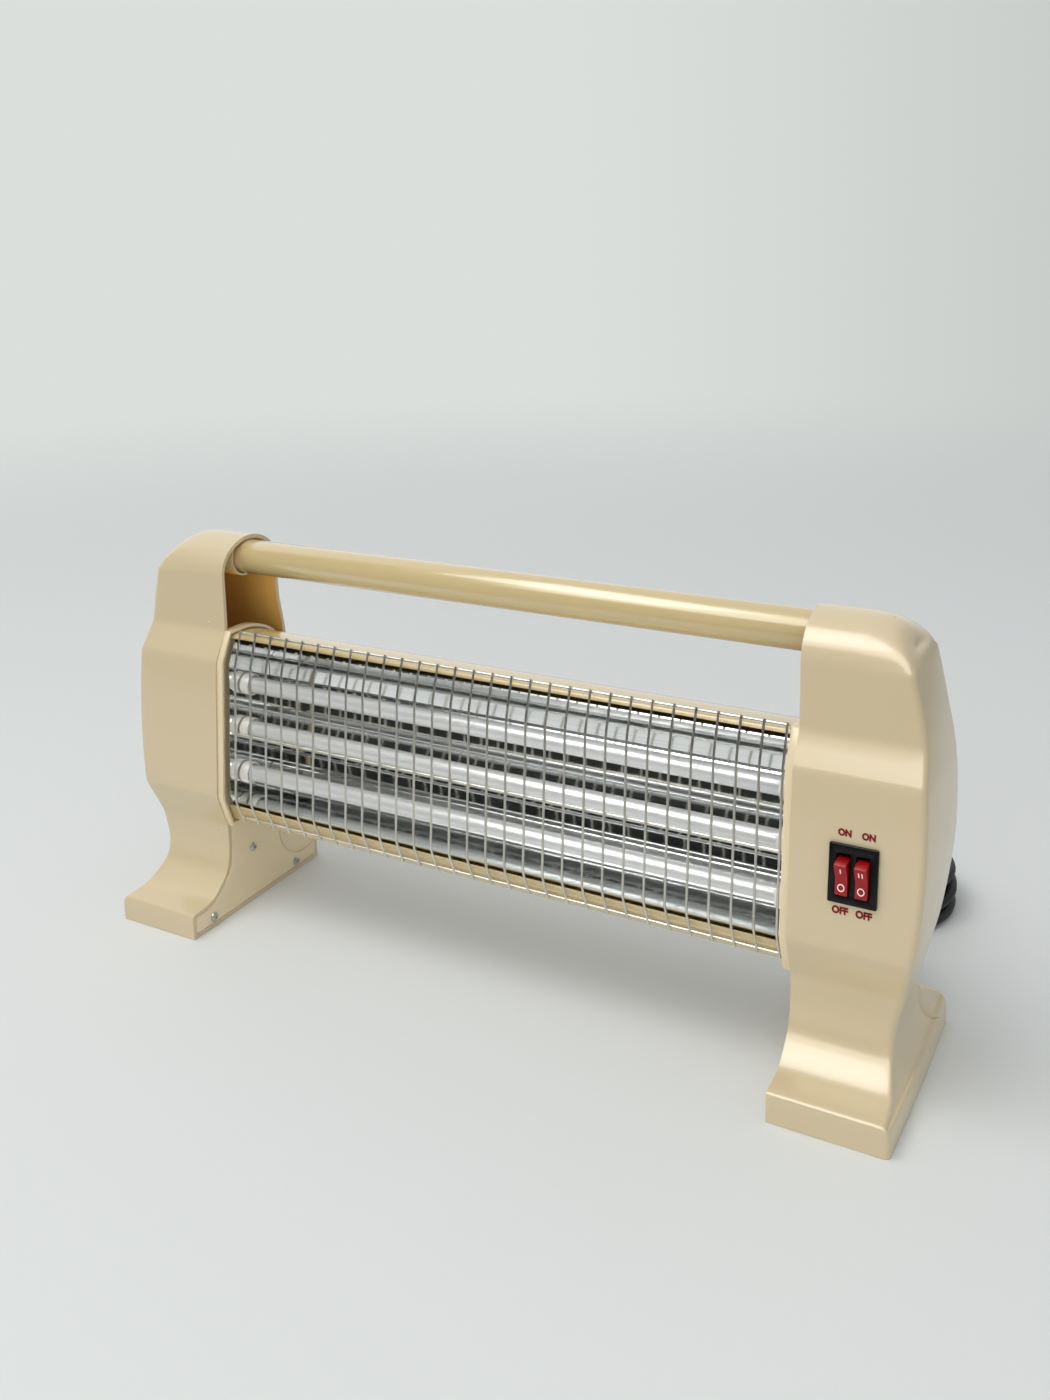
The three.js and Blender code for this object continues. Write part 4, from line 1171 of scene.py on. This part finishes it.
def make_rockers():
    for number, x, bars in ((1, -ROCKER_X, (0,)), (2, ROCKER_X, (-0.85, 0.85))):
        body = f"rocker_{number}"
        obj = smooth(rocker_piece(f"red_rocker_{number}", x), 30)
        dress(obj, RED, "red_plastic", f"rocker_{number}", body=body)
        for word, parts, z in (("on", [bar(b) for b in bars], MARK_UP), ("off", [ring()], MARK_DOWN)):
            mark = rocker_mark(f"rocker_{number}_{word}_mark", parts, x, z)
            dress(mark, WHITE_INK, "black_plastic", body=body)


WORD_NARROW, WORD_PROUD = 0.92, 0.12
WORD_PLACES = [(1, -5.3), (2, 6.8)]


def printed(name, text, x, up, size):
    """Words printed on the casing's front, x and up from the switch's middle."""
    word = outward(glyph(name, text, size, 0.25, 0.08), 0.001)
    for vertex in word.data.vertices:
        z = SWITCH_Z + up * math.cos(FRONT_LEAN) + vertex.co.z / MM
        place = at_height(FRONT_LINE, z)[0].x
        across = SWITCH_X + x + WORD_NARROW * vertex.co.x / MM
        vertex.co = Vector((across, place - WORD_PROUD + vertex.co.y / MM, z)) * MM
    return dress(word, RED_INK, "red_plastic")


make_switch_frame()
make_rockers()
for number, x in WORD_PLACES:
    printed(f"print_on_{number}", "ON", x, 20.8, 4.7)
    printed(f"print_off_{number}", "OFF", x - 0.9, -20.1, 5.1)

# ---- strain relief


def make_strain_relief():
    """A flanged sleeve in the casing's back wall, with ribs that grow thinner along the cord."""
    profile = [(0, -5), (6, -5), (6, 0.6), (7.1, 0.6), (7.4, 0.9), (7.4, 2.1), (7.1, 2.4)]
    start, stop, ribs = 3.4, 30, 9
    for k in range(ribs):
        a, b = (start + (stop - start) * share / ribs for share in (k, k + 0.62))
        big = 5.6 - 1.4 * k / ribs
        small = big - 0.75
        profile += [(small, a), (big, a + 0.15), (big - 0.08, b - 0.15), (small, b)]
    profile += [(4.1, stop), (4.0, stop + 0.2), (3.4, stop + 0.2), (0, stop - 1)]
    turned = spun("ribbed_strain_relief", [(r, GLAND_WALL + x) for r, x in profile], (0, 0))
    obj = moved(turned, (GLAND_X, 0, GLAND_Z), math.pi / 2, "Z")
    dress(smooth(outward(obj), 35), RUBBER, "rubber", "strain_relief")


make_strain_relief()

# ---- pieces kept from the frame

KEPT = {
    MIRROR: ["right_end_plate", "left_end_plate"],
    BRASS: ["left_link_strip", *(f"switch_blade_{number}" for number in (1, 2, 3, 4)),
            *(f"right_tube_terminal_{row}" for row in TUBE_PLACES)],
    NYLON: ["terminal_block"],
    RUBBER: ["supply_lead"],
    SLEEVE: [f"heater_lead_{row}" for row in TUBE_PLACES],
}
for material, names in KEPT.items():
    for name in names:
        mesh = bpy.data.objects[name].data
        mesh.materials.clear()
        mesh.materials.append(material)

# ---- floor, light and air


def lamp(name, place, aim, size, power, colour):
    """A soft lamp: a rectangle of light aimed at a point."""
    bpy.ops.object.light_add(type="AREA", location=place)
    light = bpy.context.active_object
    light.name = name
    light.data.shape = "RECTANGLE"
    light.data.size, light.data.size_y = size
    light.data.energy = power
    light.data.color = colour
    light.rotation_euler = (Vector(aim) - Vector(place)).to_track_quat("-Z", "Y").to_euler()
    return light


AIR = tint(219, 223, 220)
CAMERA_FOOT = (0.393, -0.652, 0.0)      # the floor's glow falls off with the bearing from here


def make_floor():
    """A pale floor that keeps shadows near the heater and glows like the backdrop far from it."""
    bpy.ops.mesh.primitive_plane_add(size=40, location=(0, 0, -0.0002))
    floor = named("studio_floor")
    finish = Finish("pale_floor", tint(219, 222, 221), 0.75)
    finish.bump(finish.noise(900, 2), 0.05, 0.1)
    rays = finish.node("ShaderNodeLightPath").outputs
    seen = finish.math("MAXIMUM", rays["Is Camera Ray"], rays["Is Glossy Ray"])
    seen = finish.math("MAXIMUM", seen, rays["Is Transmission Ray"])
    away = finish.node("ShaderNodeVectorMath", {0: finish.place}, operation="LENGTH").outputs["Value"]
    far = finish.math("MULTIPLY", seen, finish.ramp(away, 0.7, 2.6))
    # The glow is painted darker towards the right: painted shade on the backdrop.
    bearing = finish.node("ShaderNodeVectorMath", {0: finish.place, 1: CAMERA_FOOT}, operation="SUBTRACT")
    bearing = finish.node("ShaderNodeVectorMath", {0: bearing.outputs[0]}, operation="NORMALIZE")
    bearing = finish.node("ShaderNodeSeparateXYZ", {0: bearing.outputs[0]}).outputs["X"]
    level = finish.ramp(bearing, -0.5, 0.0, 1.0, 0.8)
    glow = finish.node("ShaderNodeEmission", {"Color": AIR, "Strength": level}).outputs[0]
    # Glossy pieces see the floor end in the dim front of the room, and half dim at its right.
    where = finish.node("ShaderNodeSeparateXYZ", {0: finish.place}).outputs
    front, right = finish.ramp(where["Y"], -0.42, -0.62), finish.ramp(where["X"], 0.35, 0.75, 0, 0.6)
    dim = finish.math("MAXIMUM", front, right)
    dim = finish.math("MULTIPLY", dim, rays["Is Glossy Ray"])
    dark = finish.node("ShaderNodeEmission", {"Color": tint(60, 62, 58), "Strength": 0.6}).outputs[0]
    mix = finish.mixed(dim, finish.mixed(far, finish.shader.outputs[0], glow), dark)
    finish.set(finish.tree.nodes["Material Output"], {"Surface": mix})
    floor.data.materials.append(finish.material)


def make_air():
    world = bpy.data.worlds.new("studio_air")
    air = Nodes(world)
    air.tree.nodes.clear()
    rays = air.node("ShaderNodeLightPath").outputs
    way = air.node("ShaderNodeTexCoord").outputs["Generated"]
    way = air.node("ShaderNodeSeparateXYZ", {0: way}).outputs

    def glow(colour, strength):
        return air.node("ShaderNodeBackground", {"Color": colour, "Strength": strength}).outputs[0]

    # In front stands a room: a tall window from the right, a dim left side, a dark band at eye height.
    window = air.math("MULTIPLY", air.ramp(way["Z"], 0.5, 0.62), air.ramp(way["Z"], 0.9, 0.99, 1.0, 0.4))
    bright = air.math("MULTIPLY", window, air.ramp(way["X"], -0.56, -0.34, 0.15, 4.6))
    room = air.math("ADD", bright, 0.02)
    behind = air.ramp(way["X"], 0.05, 0.6, 1.0, 0.35)
    level = air.node("ShaderNodeMix", {0: air.ramp(way["Y"], -0.18, 0.02), 2: room, 3: behind}).outputs[0]
    light = glow((0.97, 0.985, 1, 1), air.ramp(way["Z"], -1.0, 1.0, 0.25, 0.62))
    # The backdrop seen by the camera is painted darker towards the right: painted shade.
    backdrop = glow(AIR, air.ramp(way["X"], -0.5, 0.0, 1.0, 0.8))
    shine = glow((0.97, 0.985, 0.97, 1), level)
    polished = air.math("MAXIMUM", rays["Is Glossy Ray"], rays["Is Transmission Ray"])
    mix = air.mixed(polished, air.mixed(rays["Is Camera Ray"], light, backdrop), shine)
    air.node("ShaderNodeOutputWorld", {"Surface": mix})
    bpy.context.scene.world = world


make_floor()
make_air()
lamp("key", (-0.55, -0.75, 2.3), (0, 0, 0.1), (1.7, 1.3), 25.5, (1, 0.99, 0.975))
front = lamp("front", (0.32, -1.5, 0.55), (-0.1, 0, 0.12), (0.7, 0.9), 4.4, (0.98, 0.99, 1))
front.visible_glossy = False

scene = bpy.context.scene
scene.view_settings.view_transform = "Standard"
